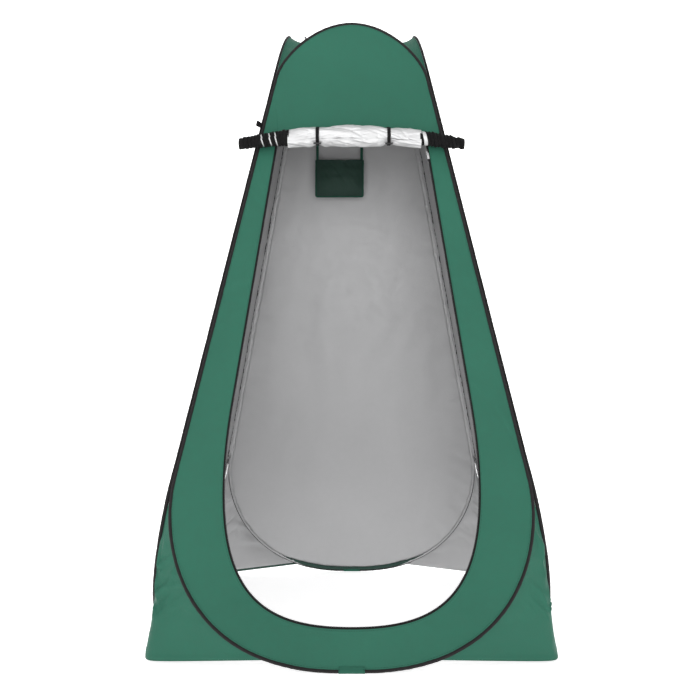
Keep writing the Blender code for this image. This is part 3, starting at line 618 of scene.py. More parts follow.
def wrinkles(flat, off_edge, run, seed, low_crumple, broad=1.0):
    """How far stretched cloth stands off its plane: puckers at its seam, longer pulls, and soft waves."""
    x, z = flat[..., 0], flat[..., 1]
    crumple = 1 + low_crumple * smoothstep((0.55 - z) / 0.35)
    held = 1 - np.exp(-off_edge / 0.005)
    puckers = 0.0010 * np.exp(-off_edge / 0.016) * bumps(run, 0.5 + 0 * run, 0.0125, seed)
    slanting = run + off_edge * 0.35 * np.sign(bumps(run, 0 * run, 0.35, seed + 9))
    pulls = 0.0015 * np.exp(-off_edge / 0.060) * bumps(slanting, off_edge, (0.034, 0.09), seed + 1)
    crinkle = 0.0011 * low_crumple * smoothstep((0.50 - z) / 0.3) * np.exp(-off_edge / 0.03)
    crinkle = crinkle * bumps(run, off_edge, (0.013, 0.011), seed + 2)
    middle = 1 - np.exp(-off_edge / 0.07)
    waves = 0.0048 * bumps(x, z, (0.27, 0.42), seed + 3) + 0.0016 * bumps(x, z, (0.075, 0.55), seed + 4)
    waves = waves + 0.0010 * bumps(x + 0.3 * z, z, (0.05, 0.13), seed + 5)
    return held * (crumple * (puckers + pulls) + crinkle) + middle * waves * broad


def welt(off_edge, height=0.0008, width=0.0065):
    """A folded hem along an edge."""
    return height * (1 - smoothstep((off_edge - width) / 0.0015))


def ring_cloth(name, kind, inner_half, spread, opening, seed, low_crumple):
    """Cloth drawn in rings from its sleeve in to the opening, or to the middle line of a whole wall."""
    outer, inner = closed(inset(HOOPS[kind], TUCK)), closed(inner_half)
    t = spread[:, None, None]
    flat = outer[None] * (1 - t) + inner[None] * t
    off_outer = np.linalg.norm(flat - outer[None], axis=-1)
    off_inner = np.linalg.norm(flat - inner[None], axis=-1) if opening else off_outer + 10
    off_edge = np.minimum(off_outer, off_inner)
    run = np.broadcast_to(lengths_along(outer), off_edge.shape)
    out = wrinkles(flat, off_edge, run, seed, low_crumple, broad=0.35 if opening else 1.0)
    out = out + welt(off_outer) + (welt(off_inner) if opening else 0)
    points = on_wall(flat, out, kind)
    faces = grid_faces(*off_edge.shape, wrap_columns=True)
    return new_mesh(name, points, faces, flat, vec(run, off_edge))


def turn_mesh(mesh, quarter_turns):
    count = len(mesh.vertices)
    points = np.empty(count * 3, np.float32)
    mesh.vertices.foreach_get("co", points)
    moved = turned(points.reshape(-1, 3).astype(float), quarter_turns)
    mesh.vertices.foreach_set("co", moved.astype(np.float32).ravel())
    mesh.update()


def make_panels():
    """The cloth of each wall: the front one round its door, and the others whole."""
    rings = 50
    spread = (np.arange(rings + 1) / rings) ** 1.9
    for index, side in enumerate(SIDES):
        if side == "front":
            even = np.arange(31) / 30
            mesh = ring_cloth("front_cloth", FRONT, DOOR, (1 - np.cos(math.pi * even)) / 2, True, 11, 0.2)
        else:
            mesh = ring_cloth(f"{side}_cloth", index % 2, spine_half(), spread, False, 20 + 7 * index, 1.0)
            join_doubles(mesh, 0.0002)
            turn_mesh(mesh, index)
        node, wall = f"{side}_panel", f"{side}_wall"
        obj = add_piece(f"{side}_cloth", mesh, (green, silver), [node], wall)
        two_faced(obj)


# ---- The hoops ----


def hoop_route(kind, inset_by, shown, fine):
    """(flat points, inward directions, distance along) round a hoop, inset, where shown says so."""
    half = HOOPS[kind]
    flat, direction = closed(inset(half, inset_by)), closed(inwards(half))
    flat, direction = np.vstack([flat, flat[:1]]), np.vstack([direction, direction[:1]])
    run = lengths_along(flat)
    dense = np.linspace(0, run[-1], len(flat) * fine)
    flat = np.stack([np.interp(dense, run, flat[:, k]) for k in (0, 1)], -1)
    direction = unit(np.stack([np.interp(dense, run, direction[:, k]) for k in (0, 1)], -1))
    kept = shown(flat)
    return flat[kept], direction[kept], dense[kept]


def make_sleeves():
    """A slightly gathered tube round each wire, flattened towards the wall's cloth and the inside."""
    sides = 16
    angle = np.arange(sides) * 2 * math.pi / sides
    u, v = np.cos(angle), np.sin(angle)
    pinch = 1 - 0.62 * smoothstep((u - 0.15) / 0.85)
    for index, side in enumerate(SIDES):
        kind = index % 2
        flat, direction, run = hoop_route(
            kind, 0.0, lambda p: (p[:, 1] > 0.1) | (np.abs(p[:, 0]) > COVER_LENGTH / 2 - 0.004), 3
        )
        centre = on_wall(flat, kind=kind)
        up = wall_normal(flat[:, 1], kind)
        across = inwards_3d(flat, direction, kind)
        gather = 1 + 0.07 * bumps(run[:, None] + 0.004 * u, angle, (0.006, 1.3), 60 + index)
        gather = gather + 0.05 * bumps(run[:, None], angle, (0.045, 2.0), 70 + index)
        plump = smoothstep((LOWER_SPLIT_Z + 0.05 - flat[:, 1]) / 0.05)[:, None] * kind
        thick = (SLEEVE_THICK + 0.0010 * plump) * np.where(v < 0, 0.55 + 0.45 * plump, 1.0)
        section = vec(u * SLEEVE_SHOWN * gather, v * pinch * thick * gather)
        mesh = tube_mesh(f"{side}_sleeve", centre, across, up, section)
        turn_mesh(mesh, index)
        node = f"{side}_hoop_sleeve"
        add_piece(f"{side}_sleeve", mesh, (black_sleeve,), [node], f"{side}_wall")


def make_patches():
    """The green patch over each crimp: down the cloth's face, round under the wire and up behind."""
    columns, rows = 34, 30
    x = np.linspace(-COVER_LENGTH / 2, COVER_LENGTH / 2, columns)
    total = 2 * PATCH_LEG + PATCH_RADIUS * math.pi
    run = np.linspace(0, 1, rows) * total
    angle = np.clip((run - PATCH_LEG) / PATCH_RADIUS, 0, math.pi)
    y = -PATCH_RADIUS * np.cos(angle)
    z = -PATCH_RADIUS * np.sin(angle)
    lift = np.maximum(np.maximum(PATCH_LEG - run, run - (total - PATCH_LEG)), 0.0)
    y = y * (1 - 0.72 * smoothstep(lift / PATCH_LEG))
    for index, side in enumerate(SIDES):
        puff = 0.0004 * bumps(x[None, :], run[:, None], (0.007, 0.006), 80 + index)
        mouth = 1 + 0.10 * smoothstep((np.abs(x) - 0.024) / 0.009)
        height = BASE_Z + z[:, None] * 0.98 + lift[:, None]
        base = on_wall(vec(x, height), kind=index % 2)
        points = base + np.array((0, 1.0, 0)) * (y[:, None] * mouth + np.sign(y)[:, None] * puff)[..., None]
        points[..., 2] = np.maximum(points[..., 2], 0.0004)
        uv = vec(x, run[:, None])
        seam = vec(run[:, None], COVER_LENGTH / 2 - np.abs(x))
        mesh = new_mesh(f"{side}_patch", points, grid_faces(rows, columns), uv, seam)
        turn_mesh(mesh, index)
        node = f"{side}_crimp_cover"
        obj = add_piece(f"{side}_patch", mesh, (green_patch,), [node], f"{side}_wall")
        two_faced(obj, 0.0005)


def make_strip(name, route, offsets, outs, material, index, thickness):
    """A strip along a hoop's inside: at each level, how far it lies inwards and out from the wall."""
    flat, direction, run = route
    kind = index % 2
    rows = [
        on_wall(flat + direction * np.reshape(off, (-1, 1)), out, kind)
        for off, out in zip(offsets, outs)
    ]
    levels = np.array([float(np.mean(off)) for off in offsets])[:, None]
    uv = vec(run, levels)
    mesh = new_mesh(name, np.array(rows), grid_faces(len(rows), len(flat)), uv)
    turn_mesh(mesh, index)
    obj = add_piece(name, mesh, (material,), (), f"{SIDES[index]}_wall")
    two_faced(obj, thickness)


def make_foot_hems():
    """Inside each wall, the dark binding along the low part of its cloth's edge."""
    levels = np.linspace(-0.6, 1, 6)
    for index, side in enumerate(SIDES):
        flat, direction, _ = hoop_route(
            index % 2, 0.0075, lambda p: (p[:, 1] < 0.2) & (np.abs(p[:, 0]) < HEM_REACH), 1
        )
        order = np.argsort(flat[:, 0])
        flat, direction = flat[order], direction[order]
        x = flat[:, 0]
        width = HEM_WIDTH * smoothstep((HEM_REACH - np.abs(x)) / 0.11)
        offsets, outs = [], []
        for level in levels:
            offsets.append(width * level)
            outs.append(-0.0022 - 0.0009 * (1 - level**2) + 0.0004 * bumps(x, level, 0.012, 90 + index))
        route = (flat, direction, x)
        make_strip(f"{side}_foot_hem", route, offsets, outs, dark_hem, index, 0.0008)


def make_seam_linings():
    """Inside each wall, the puckered silver allowance of the seam, folded over the sleeve's inner side."""
    for index, side in enumerate(SIDES):
        flat, direction, run = hoop_route(
            index % 2, 0.0, lambda p: (p[:, 1] > 0.2) | (np.abs(p[:, 0]) > LINING_START_X), 2
        )
        start = int(np.argmax(np.linalg.norm(np.diff(flat, axis=0), axis=-1) > 0.05)) + 1
        if start > 1:
            flat, direction, run = (np.roll(values, -start, axis=0) for values in (flat, direction, run))
        x, z = flat[:, 0], flat[:, 1]
        taper = np.where(z > 0.2, 1.0, smoothstep((np.abs(x) - LINING_START_X) / 0.06))
        straight = smoothstep((z - LOWER_SPLIT_Z) / 0.03) * smoothstep((UPPER_SPLIT_Z - z) / 0.03)
        sway = bumps(run, 0 * run, 0.011, 100 + index) * 0.0016
        sway = sway + bumps(run, 0 * run, 0.05, 110 + index) * 0.0010
        inner = 0.0008 - 0.0043 * straight
        offsets, outs = [], []
        for level in np.linspace(0, 1, 9):
            pucker = bumps(run, level, (0.009, 0.3), 120 + index) * LINING_PUCKER * level
            offsets.append((inner + (LINING_WIDTH - inner) * level + sway * level) * taper)
            depth = (0.0026 + 0.0019 * straight) * (1 - level) + 0.0010 * level
            outs.append(-depth - 0.0012 * math.sin(math.pi * level) - np.abs(pucker))
        route = (flat, direction, run)
        make_strip(f"{side}_seam_lining", route, offsets, outs, silver, index, 0.0003)


def make_corner_seams():
    """The strip that joins two neighbouring sleeves up each straight edge."""
    z = np.linspace(LOWER_SPLIT_Z - 0.01, UPPER_SPLIT_Z + 0.01, 120)
    w = edge_width(z)
    level = np.linspace(0, 1, 5)[:, None]
    bow = 0.0012 * np.sin(math.pi * level)
    for index, (name, first, second) in enumerate(CORNERS):
        uneven = 0.0004 * bumps(z, level, (0.012, 0.4), 130 + index)
        x = w - SLEEVE_OFF_EDGE * (1 - level) - bow + uneven
        y = -w + SLEEVE_OFF_EDGE * level + bow
        uv = vec(z, level * 0.0116)
        mesh = new_mesh(f"{name}_corner_seam", vec(x, y, z), grid_faces(*x.shape), uv)
        turn_mesh(mesh, index)
        obj = add_piece(f"{name}_corner_seam", mesh, (black_sleeve, silver))
        face_out(obj)
        two_faced(obj, 0.0006)
        if name == OPEN_CORNER:
            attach(obj, first)
        else:
            blend_corner(obj)


# ---- The corner gussets ----


def gusset_edge(kind, rows=84):
    """(flat start, ridge point, start of the cloth) down one side of a corner, from the split to the foot."""
    fine = low_arc(2000)
    t = np.arange(1, 2001) / 2000
    t_top = t[np.argmax(fine[:, 1] >= GUSSET_TOP_Z)]
    t_foot = t[np.argmax(fine[:, 0] >= GUSSET_FOOT_X)]
    chosen = np.linspace(1.0, t_foot, rows)
    flat = np.stack([np.interp(chosen, t, fine[:, k]) for k in (0, 1)], -1)
    share = np.clip((t_top - chosen) / (t_top - t_foot), 0, 1)[:, None]
    w = edge_width(GUSSET_TOP_Z) - GUSSET_TOP_INSET
    top = np.array((w, -w, GUSSET_TOP_Z))
    tip = np.array((CORNER_TIP[0], -CORNER_TIP[0], CORNER_TIP[1]))
    width = edge_width(flat[:, 1]) - GUSSET_TOP_INSET
    corner = vec(width, -width, flat[:, 1])
    ridge = np.where(flat[:, 1:] > GUSSET_TOP_Z, corner, top * (1 - share) + tip * share)
    start = on_wall(flat, (-0.0008, -0.0040)[kind], kind)
    return flat, ridge, start + unit(ridge - start + 1e-9) * TUCK


def gusset_points(kind, seed, columns=97):
    """The corner at +X, -Y. kind is of the wall on its -Y side, and the one on its +X side is the other."""
    flat, ridge, start = gusset_edge(kind)
    mirrored = gusset_edge(1 - kind)[2]
    other = vec(-mirrored[:, 1], -mirrored[:, 0], mirrored[:, 2])
    softness = 0.10
    even, odd = (start + other) / 2 - ridge, (start - other) / 2
    spread = np.linspace(-1, 1, columns)
    v = -np.sign(spread) * (1 - (1 - np.abs(spread)) ** 1.35)
    rounded = (np.sqrt(v**2 + softness**2) - softness) / (math.sqrt(1 + softness**2) - softness)
    points = ridge[:, None] + even[:, None] * rounded[:, None] + odd[:, None] * v[:, None]
    drop = lengths_along(flat)[:, None] + 0 * v
    wide = np.linalg.norm(start - ridge, axis=-1)[:, None]
    off_seam = wide * (1 - np.abs(v))
    off_ridge = wide * np.abs(v)
    side = np.sign(v) * off_ridge
    normal = unit(np.cross(np.gradient(points, axis=1), np.gradient(points, axis=0)))
    normal = normal * np.sign((normal * np.array((1, -1, 0.0))).sum(-1, keepdims=True))
    held = 1 - np.exp(-off_seam / 0.006)
    at_run = drop + 5 * (v > 0)
    pucker = 0.0016 * np.exp(-off_seam / 0.020) * bumps(at_run, 0 * at_run, 0.0140, seed)
    pull = 0.0030 * np.exp(-off_seam / 0.075) * bumps(at_run, off_seam, (0.040, 0.10), seed + 1)
    waves = 0.0045 * (1 - np.exp(-off_seam / 0.06)) * bumps(side + 3, drop, (0.11, 0.20), seed + 2)
    slanted = drop + 1.3 * off_ridge
    crumple = 1 - np.abs(bumps(slanted, side, (0.030, 0.055), seed + 3)) * 2.2
    crumple = np.maximum(crumple, 0) * 0.0110 * np.exp(-off_ridge / 0.040) * smoothstep(wide / 0.05)
    crumple = crumple * smoothstep((0.46 - drop) / 0.12)
    bottom = drop.max() - drop
    flatten = smoothstep(bottom / 0.02)
    hem = 0.0016 * (1 - smoothstep((bottom - 0.017) / 0.002))
    out = held * (pucker + pull + crumple) + waves * smoothstep(wide / 0.12)
    points = points + normal * (out * flatten + hem)[..., None]
    points[..., 2] = np.maximum(points[..., 2], 0.0008)
    return points, side, drop, off_seam


def make_gussets():
    """The cloth of the four low corners, hemmed along its foot."""
    for index, (name, first, second) in enumerate(CORNERS):
        points, side, drop, off_seam = gusset_points(index % 2, 140 + 10 * index)
        rows, columns = side.shape
        bottom = drop.max() - drop
        uv = vec(side, -drop)
        by_hem = np.where(bottom < off_seam, side, drop)
        seam = vec(by_hem, np.minimum(bottom + 0.0005, off_seam))
        if name == OPEN_CORNER:
            make_split_gusset(name, index, points, uv, seam)
            continue
        mesh = new_mesh(f"{name}_corner_cloth", points, grid_faces(rows, columns), uv, seam)
        turn_mesh(mesh, index)
        materials = (green, silver, green, dark_hem)
        obj = add_piece(f"{name}_corner_cloth", mesh, materials, [f"{name}_gusset"])
        hemmed = np.repeat(bottom[1:, 0] < 0.016, columns - 1)
        mesh.polygons.foreach_set("material_index", np.where(hemmed, 2, 0).astype(np.int32))
        face_out(obj)
        two_faced(obj)
        blend_corner(obj)


def make_split_gusset(name, index, points, uv, seam):
    """The corner that opens as the tent folds: a half on each wall, carried by that wall."""
    middle = points.shape[1] // 2
    halves = (("a", slice(middle, None)), ("b", slice(0, middle + 1)))
    for letter, columns in halves:
        half = f"{name}_corner_cloth_{letter}"
        faces = grid_faces(len(points), middle + 1)
        mesh = new_mesh(half, points[:, columns], faces, uv[:, columns], seam[:, columns])
        turn_mesh(mesh, index)
        centre = np.mean([v.co for v in mesh.vertices], axis=0)
        body = "right_wall" if centre[0] > centre[1] else "back_wall"
        replaced = [f"{name}_gusset"] if letter == "a" else []
        obj = add_piece(half, mesh, (green, silver), replaced, body)
        face_out(obj)
        two_faced(obj)
        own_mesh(obj)


# ---- The roof ----


def roof_edge(kind, steps=72):
    """One edge of the roof, behind the dome's sleeve, drawn in to meet its neighbours at the corners."""
    top = np.array((0.0, dome_top(kind)))
    dome = bezier(HIGH, HIGH + EDGE_UP * DOME_PULLS[0], top + (DOME_PULLS[1], 0), top, steps)
    half = np.vstack([[HIGH], dome])
    flat = np.vstack([half * (-1, 1), half[-2::-1]])
    points = on_wall(flat, -0.0035, kind)
    corner = points[-1]
    move = (-corner[1] - corner[0]) / 2
    u = np.linspace(-1, 1, len(points))
    pull = np.abs(u) ** 6
    points[:, 0] += move * np.sign(u) * pull
    points[:, 1] += move * pull
    return points


def roof_grid(rounds=4000):
    """Cloth between the domes: each point rests at the mean of its neighbours, or on a taut ridge."""
    front = roof_edge(FRONT)[::2]
    side = roof_edge(SIDE)[::2]
    count = len(front)
    middle = count // 2
    grid = np.zeros((count, count, 3))
    grid[0] = front
    grid[-1] = front * (1, -1, 1)
    grid[:, 0] = side[:, (1, 0, 2)]
    grid[:, -1] = side[:, (1, 0, 2)] * (-1, 1, 1)
    t = np.linspace(0, 1, count)
    column, row = np.meshgrid(t, t)
    column, row = column[..., None], row[..., None]
    coons = grid[0][None] * (1 - row) + grid[-1][None] * row
    coons = coons + grid[:, 0][:, None] * (1 - column) + grid[:, -1][:, None] * column
    for r, at_row in ((0, 1 - row), (-1, row)):
        for c, at_column in ((0, 1 - column), (-1, column)):
            coons = coons - at_row * at_column * grid[r, c]
    grid[1:-1, 1:-1] = coons[1:-1, 1:-1]
    i = np.arange(1, middle)
    share = i / middle
    height = grid[middle, 0, 2] + (grid[0, middle, 2] - grid[middle, 0, 2]) * share
    height = height - 4 * RIDGE_SAG * share * (1 - share)
    ridge_row = np.concatenate([middle - i, middle + i, middle - i, middle + i])
    ridge_column = np.concatenate([i, i, count - 1 - i, count - 1 - i])
    height = np.tile(height, 4)
    for _ in range(rounds):
        around = grid[:-2, 1:-1] + grid[2:, 1:-1] + grid[1:-1, :-2] + grid[1:-1, 2:]
        grid[1:-1, 1:-1] = around / 4
        grid[ridge_row, ridge_column, 2] = np.maximum(grid[ridge_row, ridge_column, 2], height)
    return grid


def make_roof():
    """The roof in two halves, sewn together on the diagonal from the front left to the back right."""
    grid = roof_grid()
    count = len(grid)
    row, column = np.meshgrid(np.arange(count), np.arange(count), indexing="ij")
    edge = np.minimum(np.minimum(row, column), count - 1 - np.maximum(row, column)) / count
    off_edge = edge * 0.48
    diagonal = np.abs(row - column) / count * 0.34
    x, y = grid[..., 0], grid[..., 1]
    angle = np.arctan2(y, x)
    held = 1 - np.exp(-off_edge / 0.010)
    by_front_or_back = (row == edge * count) | (count - 1 - row == edge * count)
    run = np.where(by_front_or_back, x + 3 * np.sign(y), y + 7 * np.sign(x))
    out = held * 0.0030 * np.exp(-off_edge / 0.045) * bumps(run, off_edge, (0.026, 0.07), 200)
    out = out + held * 0.0045 * bumps(x, y, (0.10, 0.12), 201)
    out = out + held * 0.0018 * bumps(angle * 0.2, off_edge, (0.03, 0.2), 202)
    out = out + 0.0018 * np.exp(-diagonal / 0.004)
    normal = unit(np.cross(np.gradient(grid, axis=1), np.gradient(grid, axis=0)))
    normal = normal * np.sign(normal[..., 2:] + 1e-9)
    grid = grid + normal * out[..., None]
    halves = {
        "roof_cloth_front_right": (column >= row, "roof_front_right", "front_wall", "right_wall"),
        "roof_cloth_back_left": (column <= row, "roof_back_left", "left_wall", "back_wall"),
    }
    for name, (held_here, node, first, second) in halves.items():
        number = np.full((count, count), -1)
        number[held_here] = np.arange(held_here.sum())
        corners = grid_faces(count, count)
        faces = [[int(n) for n in number.ravel()[c] if n >= 0] for c in corners]
        faces = [f for f in faces if len(f) >= 3]
        by_diagonal = np.where(diagonal < off_edge, x, run)
        seam = vec(by_diagonal, np.minimum(diagonal + 0.0005, off_edge))
        mesh = new_mesh(name, grid[held_here], faces, vec(x, y)[held_here], seam[held_here])
        obj = add_piece(name, mesh, (green, silver), [node])
        face_along(mesh, UP)
        two_faced(obj)
        blend_across(obj)


# ---- The rolled door ----


def roll_centre(x):
    bow = (x / ROLL_HALF) ** 2
    return vec(x, ROLL_MID[0] - ROLL_END_FORWARD * bow, ROLL_MID[1] - ROLL_END_DROP * bow)


def roll_radius(x):
    return ROLL_RADII[0] - (ROLL_RADII[0] - ROLL_RADII[1]) * np.abs(x / ROLL_HALF) ** 1.5


def roll_points(x, angle, radius):
    """Points round the roll: angle 0 faces -Y, and a positive angle is above."""
    spread = vec(0, -np.cos(angle) * radius, np.sin(angle) * radius)
    return roll_centre(x + 0 * angle) + spread


def silver_radius(x, angle):
    """The cloth of the roll: nipped in by its ties, with folds that fan out from them and one free edge."""
    near_tie = sum(np.exp(-(((x - tie) / 0.016) ** 2)) for tie in TIE_X)
    fan = 0.0
    for i, tie in enumerate(TIE_X):
        away = np.abs(x - tie)
        reach = np.exp(-away / 0.085) * (1 - np.exp(-away / 0.008))
        swirl = angle * 1.9 + np.sign(x - tie) * away * 26
        folds = 0.0022 * np.sin(swirl * 1.7 + i) + 0.0016 * bumps(swirl, away, (0.55, 0.05), 300 + i)
        fan = fan + reach * folds
    long_folds = 0.0024 * bumps(angle + 6 * x, x, (0.42, 0.16), 303)
    long_folds = long_folds + 0.0010 * bumps(angle - 9 * x, x, (0.16, 0.05), 304)
    crease = np.maximum(0, 1 - 4 * np.abs(bumps(angle + 11 * x, x, (0.7, 0.075), 305)))
    long_folds = 0.75 * long_folds - 0.0022 * crease
    turn = (angle - FREE_EDGE) % (2 * math.pi) / (2 * math.pi)
    step = 0.0028 * (turn - 0.5) + 0.0010 * np.exp(-turn / 0.02)
    under = smoothstep(-np.sin(angle) * 1.3 - 0.25) * (1 - near_tie)
    sag = under * (0.0060 + 0.0030 * bumps(angle * 2 + 14 * x, x, (0.5, 0.045), 307))
    return roll_radius(x) - 0.0020 - 0.0028 * near_tie + fan + long_folds + step + sag


def make_silver_roll():
    left, right = ROLL_SILVER_ENDS
    x = np.linspace(left - 0.004, right + 0.004, 220)[:, None]
    angle = np.linspace(FREE_EDGE + 1e-4, FREE_EDGE + 2 * math.pi - 1e-4, 161)[None, :]
    angle, x = angle + 0 * x, x + 0 * angle
    off_free_edge = (angle - FREE_EDGE) % (2 * math.pi)
    wavy = angle + 0.05 * bumps(x, 0 * x, 0.05, 306) * np.exp(-(off_free_edge / 0.5))
    points = roll_points(x, wavy, silver_radius(x, angle))
    uv = vec(x, angle * SILVER_GIRTH)
    mesh = new_mesh("door_silver_roll", points, grid_faces(*x.shape), uv)
    obj = add_piece("door_silver_roll", mesh, (roll_silver_painted_light,), ["door_roll"], "door_roll")
    face_from_axis(obj)
    two_faced(obj, 0.0007)


def face_from_axis(obj):
    """Turns a roll's faces outwards."""
    polygon = obj.data.polygons[len(obj.data.polygons) // 2]
    axis = roll_centre(np.array(polygon.center.x))
    if polygon.normal.dot(polygon.center - Vector(axis)) < 0:
        obj.data.flip_normals()


def make_wound_zip(side, start, end, edges, silver_gaps, seed):
    """Turns of the zip's tape at one end of the roll: each a flat band with teeth down its edge."""
    rows, columns = 260, 240
    x_line = np.linspace(start, end, rows)
    angle = (np.arange(columns) * 2 * math.pi / columns)[None, :]
    x = x_line[:, None] + 0 * angle
    angle = angle + 0 * x
    place = x + 0.0042 * np.sin(angle) + 0.0010 * bumps(angle, 0 * angle, 0.6, seed)
    edges = np.array(edges)
    band = np.clip(np.searchsorted(edges, place) - 1, 0, len(edges) - 2)
    low, high = edges[band], edges[band + 1]
    share = np.clip((place - low) / (high - low), 0, 1)
    crown = 1 - np.abs(2 * share - 1) ** 5
    lap = 0.0016 * (share if start < 0 else 1 - share)
    is_gap = np.isin(band, silver_gaps)
    height = np.random.default_rng(seed).uniform(-0.0022, 0.0014, len(edges))[band]
    ripple = 0.0009 * np.sin(angle * 38 + band * 2.1) * (np.abs(share - 0.24) < 0.13)
    ripple = ripple + 0.0004 * bumps(place, angle, (0.004, 0.09), seed + 2)
    radius = roll_radius(x) - 0.0042 + 0.0024 * crown + lap + height + ripple
    radius = np.where(is_gap, roll_radius(x) - 0.0040 + 0.0004 * crown, radius)
    points = roll_points(x, angle, radius)
    uv = vec(angle * TAPE_GIRTH, place)
    name, node = f"wound_zip_tape_{side}", f"wound_zip_{side}"
    mesh = new_mesh(name, points, grid_faces(rows, columns, wrap_columns=True), uv)
    obj = add_piece(name, mesh, (zip_black, roll_silver_painted_light), [node], "door_roll")
    mesh.polygons.foreach_set("material_index", is_gap[:-1].ravel().astype(np.int32))
    face_from_axis(obj)
    make_roll_end(side, max(start, end, key=abs), seed + 5)


def make_roll_end(side, x_end, seed):
    """The end of the roll, where its turns show as a spiral."""
    rows, columns = 40, 96
    share = np.linspace(0.0, 1.0, rows)[:, None]
    angle = (np.arange(columns) * 2 * math.pi / columns)[None, :]
    radius = (roll_radius(np.array(x_end)) - 0.0020) * share + 0 * angle
    sign = math.copysign(1, x_end)
    turn = (radius / SPIRAL_PITCH + angle / (2 * math.pi)) % 1.0
    depth = 0.0016 * (1 - np.abs(2 * turn - 1) ** 3) - 0.0030 * smoothstep((share - 0.8) / 0.2)
    depth = depth + 0.0006 * bumps(angle, radius, (0.5, 0.003), seed)
    points = roll_points(x_end + 0 * radius, angle + 0 * radius, radius)
    points[..., 0] = x_end + sign * (depth - 0.0006)
    uv = vec(angle * 0.01, radius)
    mesh = new_mesh(f"roll_end_{side}", points, grid_faces(rows, columns, wrap_columns=True), uv)
    join_doubles(mesh, 1e-6)
    add_piece(f"roll_end_{side}", mesh, (zip_black,), (), "door_roll")
    face_along(mesh, (sign, 0, 0))


def make_head_flap():
    """The door's cloth from its head seam, over the front of the roll."""
    reach = DOOR_HEAD_CORNER[0] - 0.006
    x = np.linspace(-reach, reach * 0.955, 200)[:, None]
    t = np.linspace(0, 1, 26)[None, :]
    x, t = x + 0 * t, t + 0 * x
    seam = on_wall(vec(x, head_z(x) - 0.0015), 0.0010)
    contact = FLAP_CONTACT + 0 * x
    roll_x = np.clip(x, ROLL_SILVER_ENDS[0], ROLL_SILVER_ENDS[1])
    end = roll_points(x, contact, silver_radius(roll_x, contact) + 0.0006)
    tangent = vec(0, np.sin(contact), np.cos(contact))
    points = cubic(seam, seam + FORWARDS * 0.006, end + tangent * 0.010, end, t[..., None])
    pinch = sum(np.exp(-np.abs(x - tie) / 0.07) * (1 - np.exp(-np.abs(x - tie) / 0.006)) for tie in TIE_X)
    fold = 0.0026 * bumps(x + 0.05 * t, t, (0.022, 0.8), 320)
    fold = fold + 0.0016 * bumps(x - 0.06 * t, t, (0.011, 0.5), 321)
    out = np.sin(math.pi * t) * (0.4 + pinch) * fold
    normal = unit(np.cross(np.gradient(points, axis=1), np.gradient(points, axis=0)))
    normal = normal * np.sign(-normal[..., 1:2])
    points = points + normal * out[..., None]
    mesh = new_mesh("head_flap_cloth", points, grid_faces(*x.shape), vec(x, t * 0.03))
    node = "door_head_flap"
    obj = add_piece("head_flap_cloth", mesh, (roll_silver_painted_light,), [node], "door_roll")
    face_along(mesh, FORWARDS)
    two_faced(obj)


def make_ties():
    """Webbing down over the flap and the roll to its peg, and a loop that comes round from behind."""
    section = oval(TIE_WIDTH, 0.0014, 12, 6)
    for side, x in zip(("left", "right"), TIE_X):
        at = np.array(x)
        peg = float(roll_radius(at) + 0.0003 + 0.0012 + 0.0012)
        seam = on_wall(np.array((x, float(head_z(at)) - 0.001)), 0.0028)
        angles = np.radians(np.linspace(66, -50, 36))
        on_roll = roll_points(at, angles, silver_radius(at, angles) + 0.0020)
        bottom = roll_points(at, np.radians(np.linspace(-54, -66, 5)), np.array(peg) - 0.0004)
        lead = on_roll[0] + np.array((0, 0.006, 0.004))
        start = bezier(seam, seam + (0, -0.006, 0.001), lead, on_roll[0], 10)
        over = np.vstack([[seam], start, on_roll[1:], bottom])
        under_angles = np.radians(np.linspace(150, 292, 30))
        reach = np.interp(under_angles, np.radians((150, 270, 292)), (0.0008, 0.0010, 0.0034))
        under = roll_points(at, under_angles, roll_radius(at) + reach)
        for name, node, route in (("tie_webbing", "tie_strap", over), ("tie_back_loop", "tie_loop", under)):
            across, up = frames_of(route, unit(route - roll_centre(at)))
            wave = 1 + 0.04 * bumps(lengths_along(route), 0, 0.02, 330)[:, None, None]
            mesh = tube_mesh(f"{name}_{side}", route, across, up, section[None] * wave)
            add_piece(
                f"{name}_{side}", mesh, (black_webbing,), [f"{node}_{side}"], "door_roll"
            )


def make_toggles():
    """A peg with a waist for its cord and a rim at each end."""
    t = np.linspace(-1, 1, 41)
    waist = 1 - 0.30 * np.exp(-((t / 0.12) ** 2))
    rim = 1 + 0.10 * np.exp(-(((np.abs(t) - 0.86) / 0.06) ** 2))
    ends = np.sqrt(np.clip(1 - (np.clip(np.abs(t) - 0.90, 0, 1) / 0.10) ** 2, 0.02, 1))
    radius = TOGGLE_RADIUS * waist * rim * ends * (1 - 0.12 * t**2)
    for side, x in zip(("left", "right"), TIE_X):
        at = np.array(x)
        pivot = roll_points(at, np.array(TOGGLE_ANGLE), roll_radius(at) + 0.0027 + TOGGLE_RADIUS)
        route = pivot + vec(t * TOGGLE_LENGTH / 2, 0, 0)
        across = np.broadcast_to((0.0, 1.0, 0.0), route.shape)
        up = np.broadcast_to(UP, route.shape)
        section = oval(2, 2, 20)[None] * radius[:, None, None]
        mesh = tube_mesh(f"peg_{side}", route, across, up, section)
        node = f"toggle_{side}"
        add_piece(f"peg_{side}", mesh, (toggle_plastic,), [node], node)


# ---- The door's zip on the front wall ----


def zip_route():
    """The opening's edge below its head, from one end of the zip round to the other, and its inward way."""
    half = DOOR[DOOR[:, 1] < TAPE_TOP_Z]
    half = half[: FOOT_STEPS + LOW_STEPS + SIDE_STEPS]
    way = inwards(DOOR)[: len(half)]
    flat = np.vstack([half[:0:-1], half * (-1, 1)])
    way = np.vstack([way[:0:-1], way * (-1, 1)])
    return flat, way


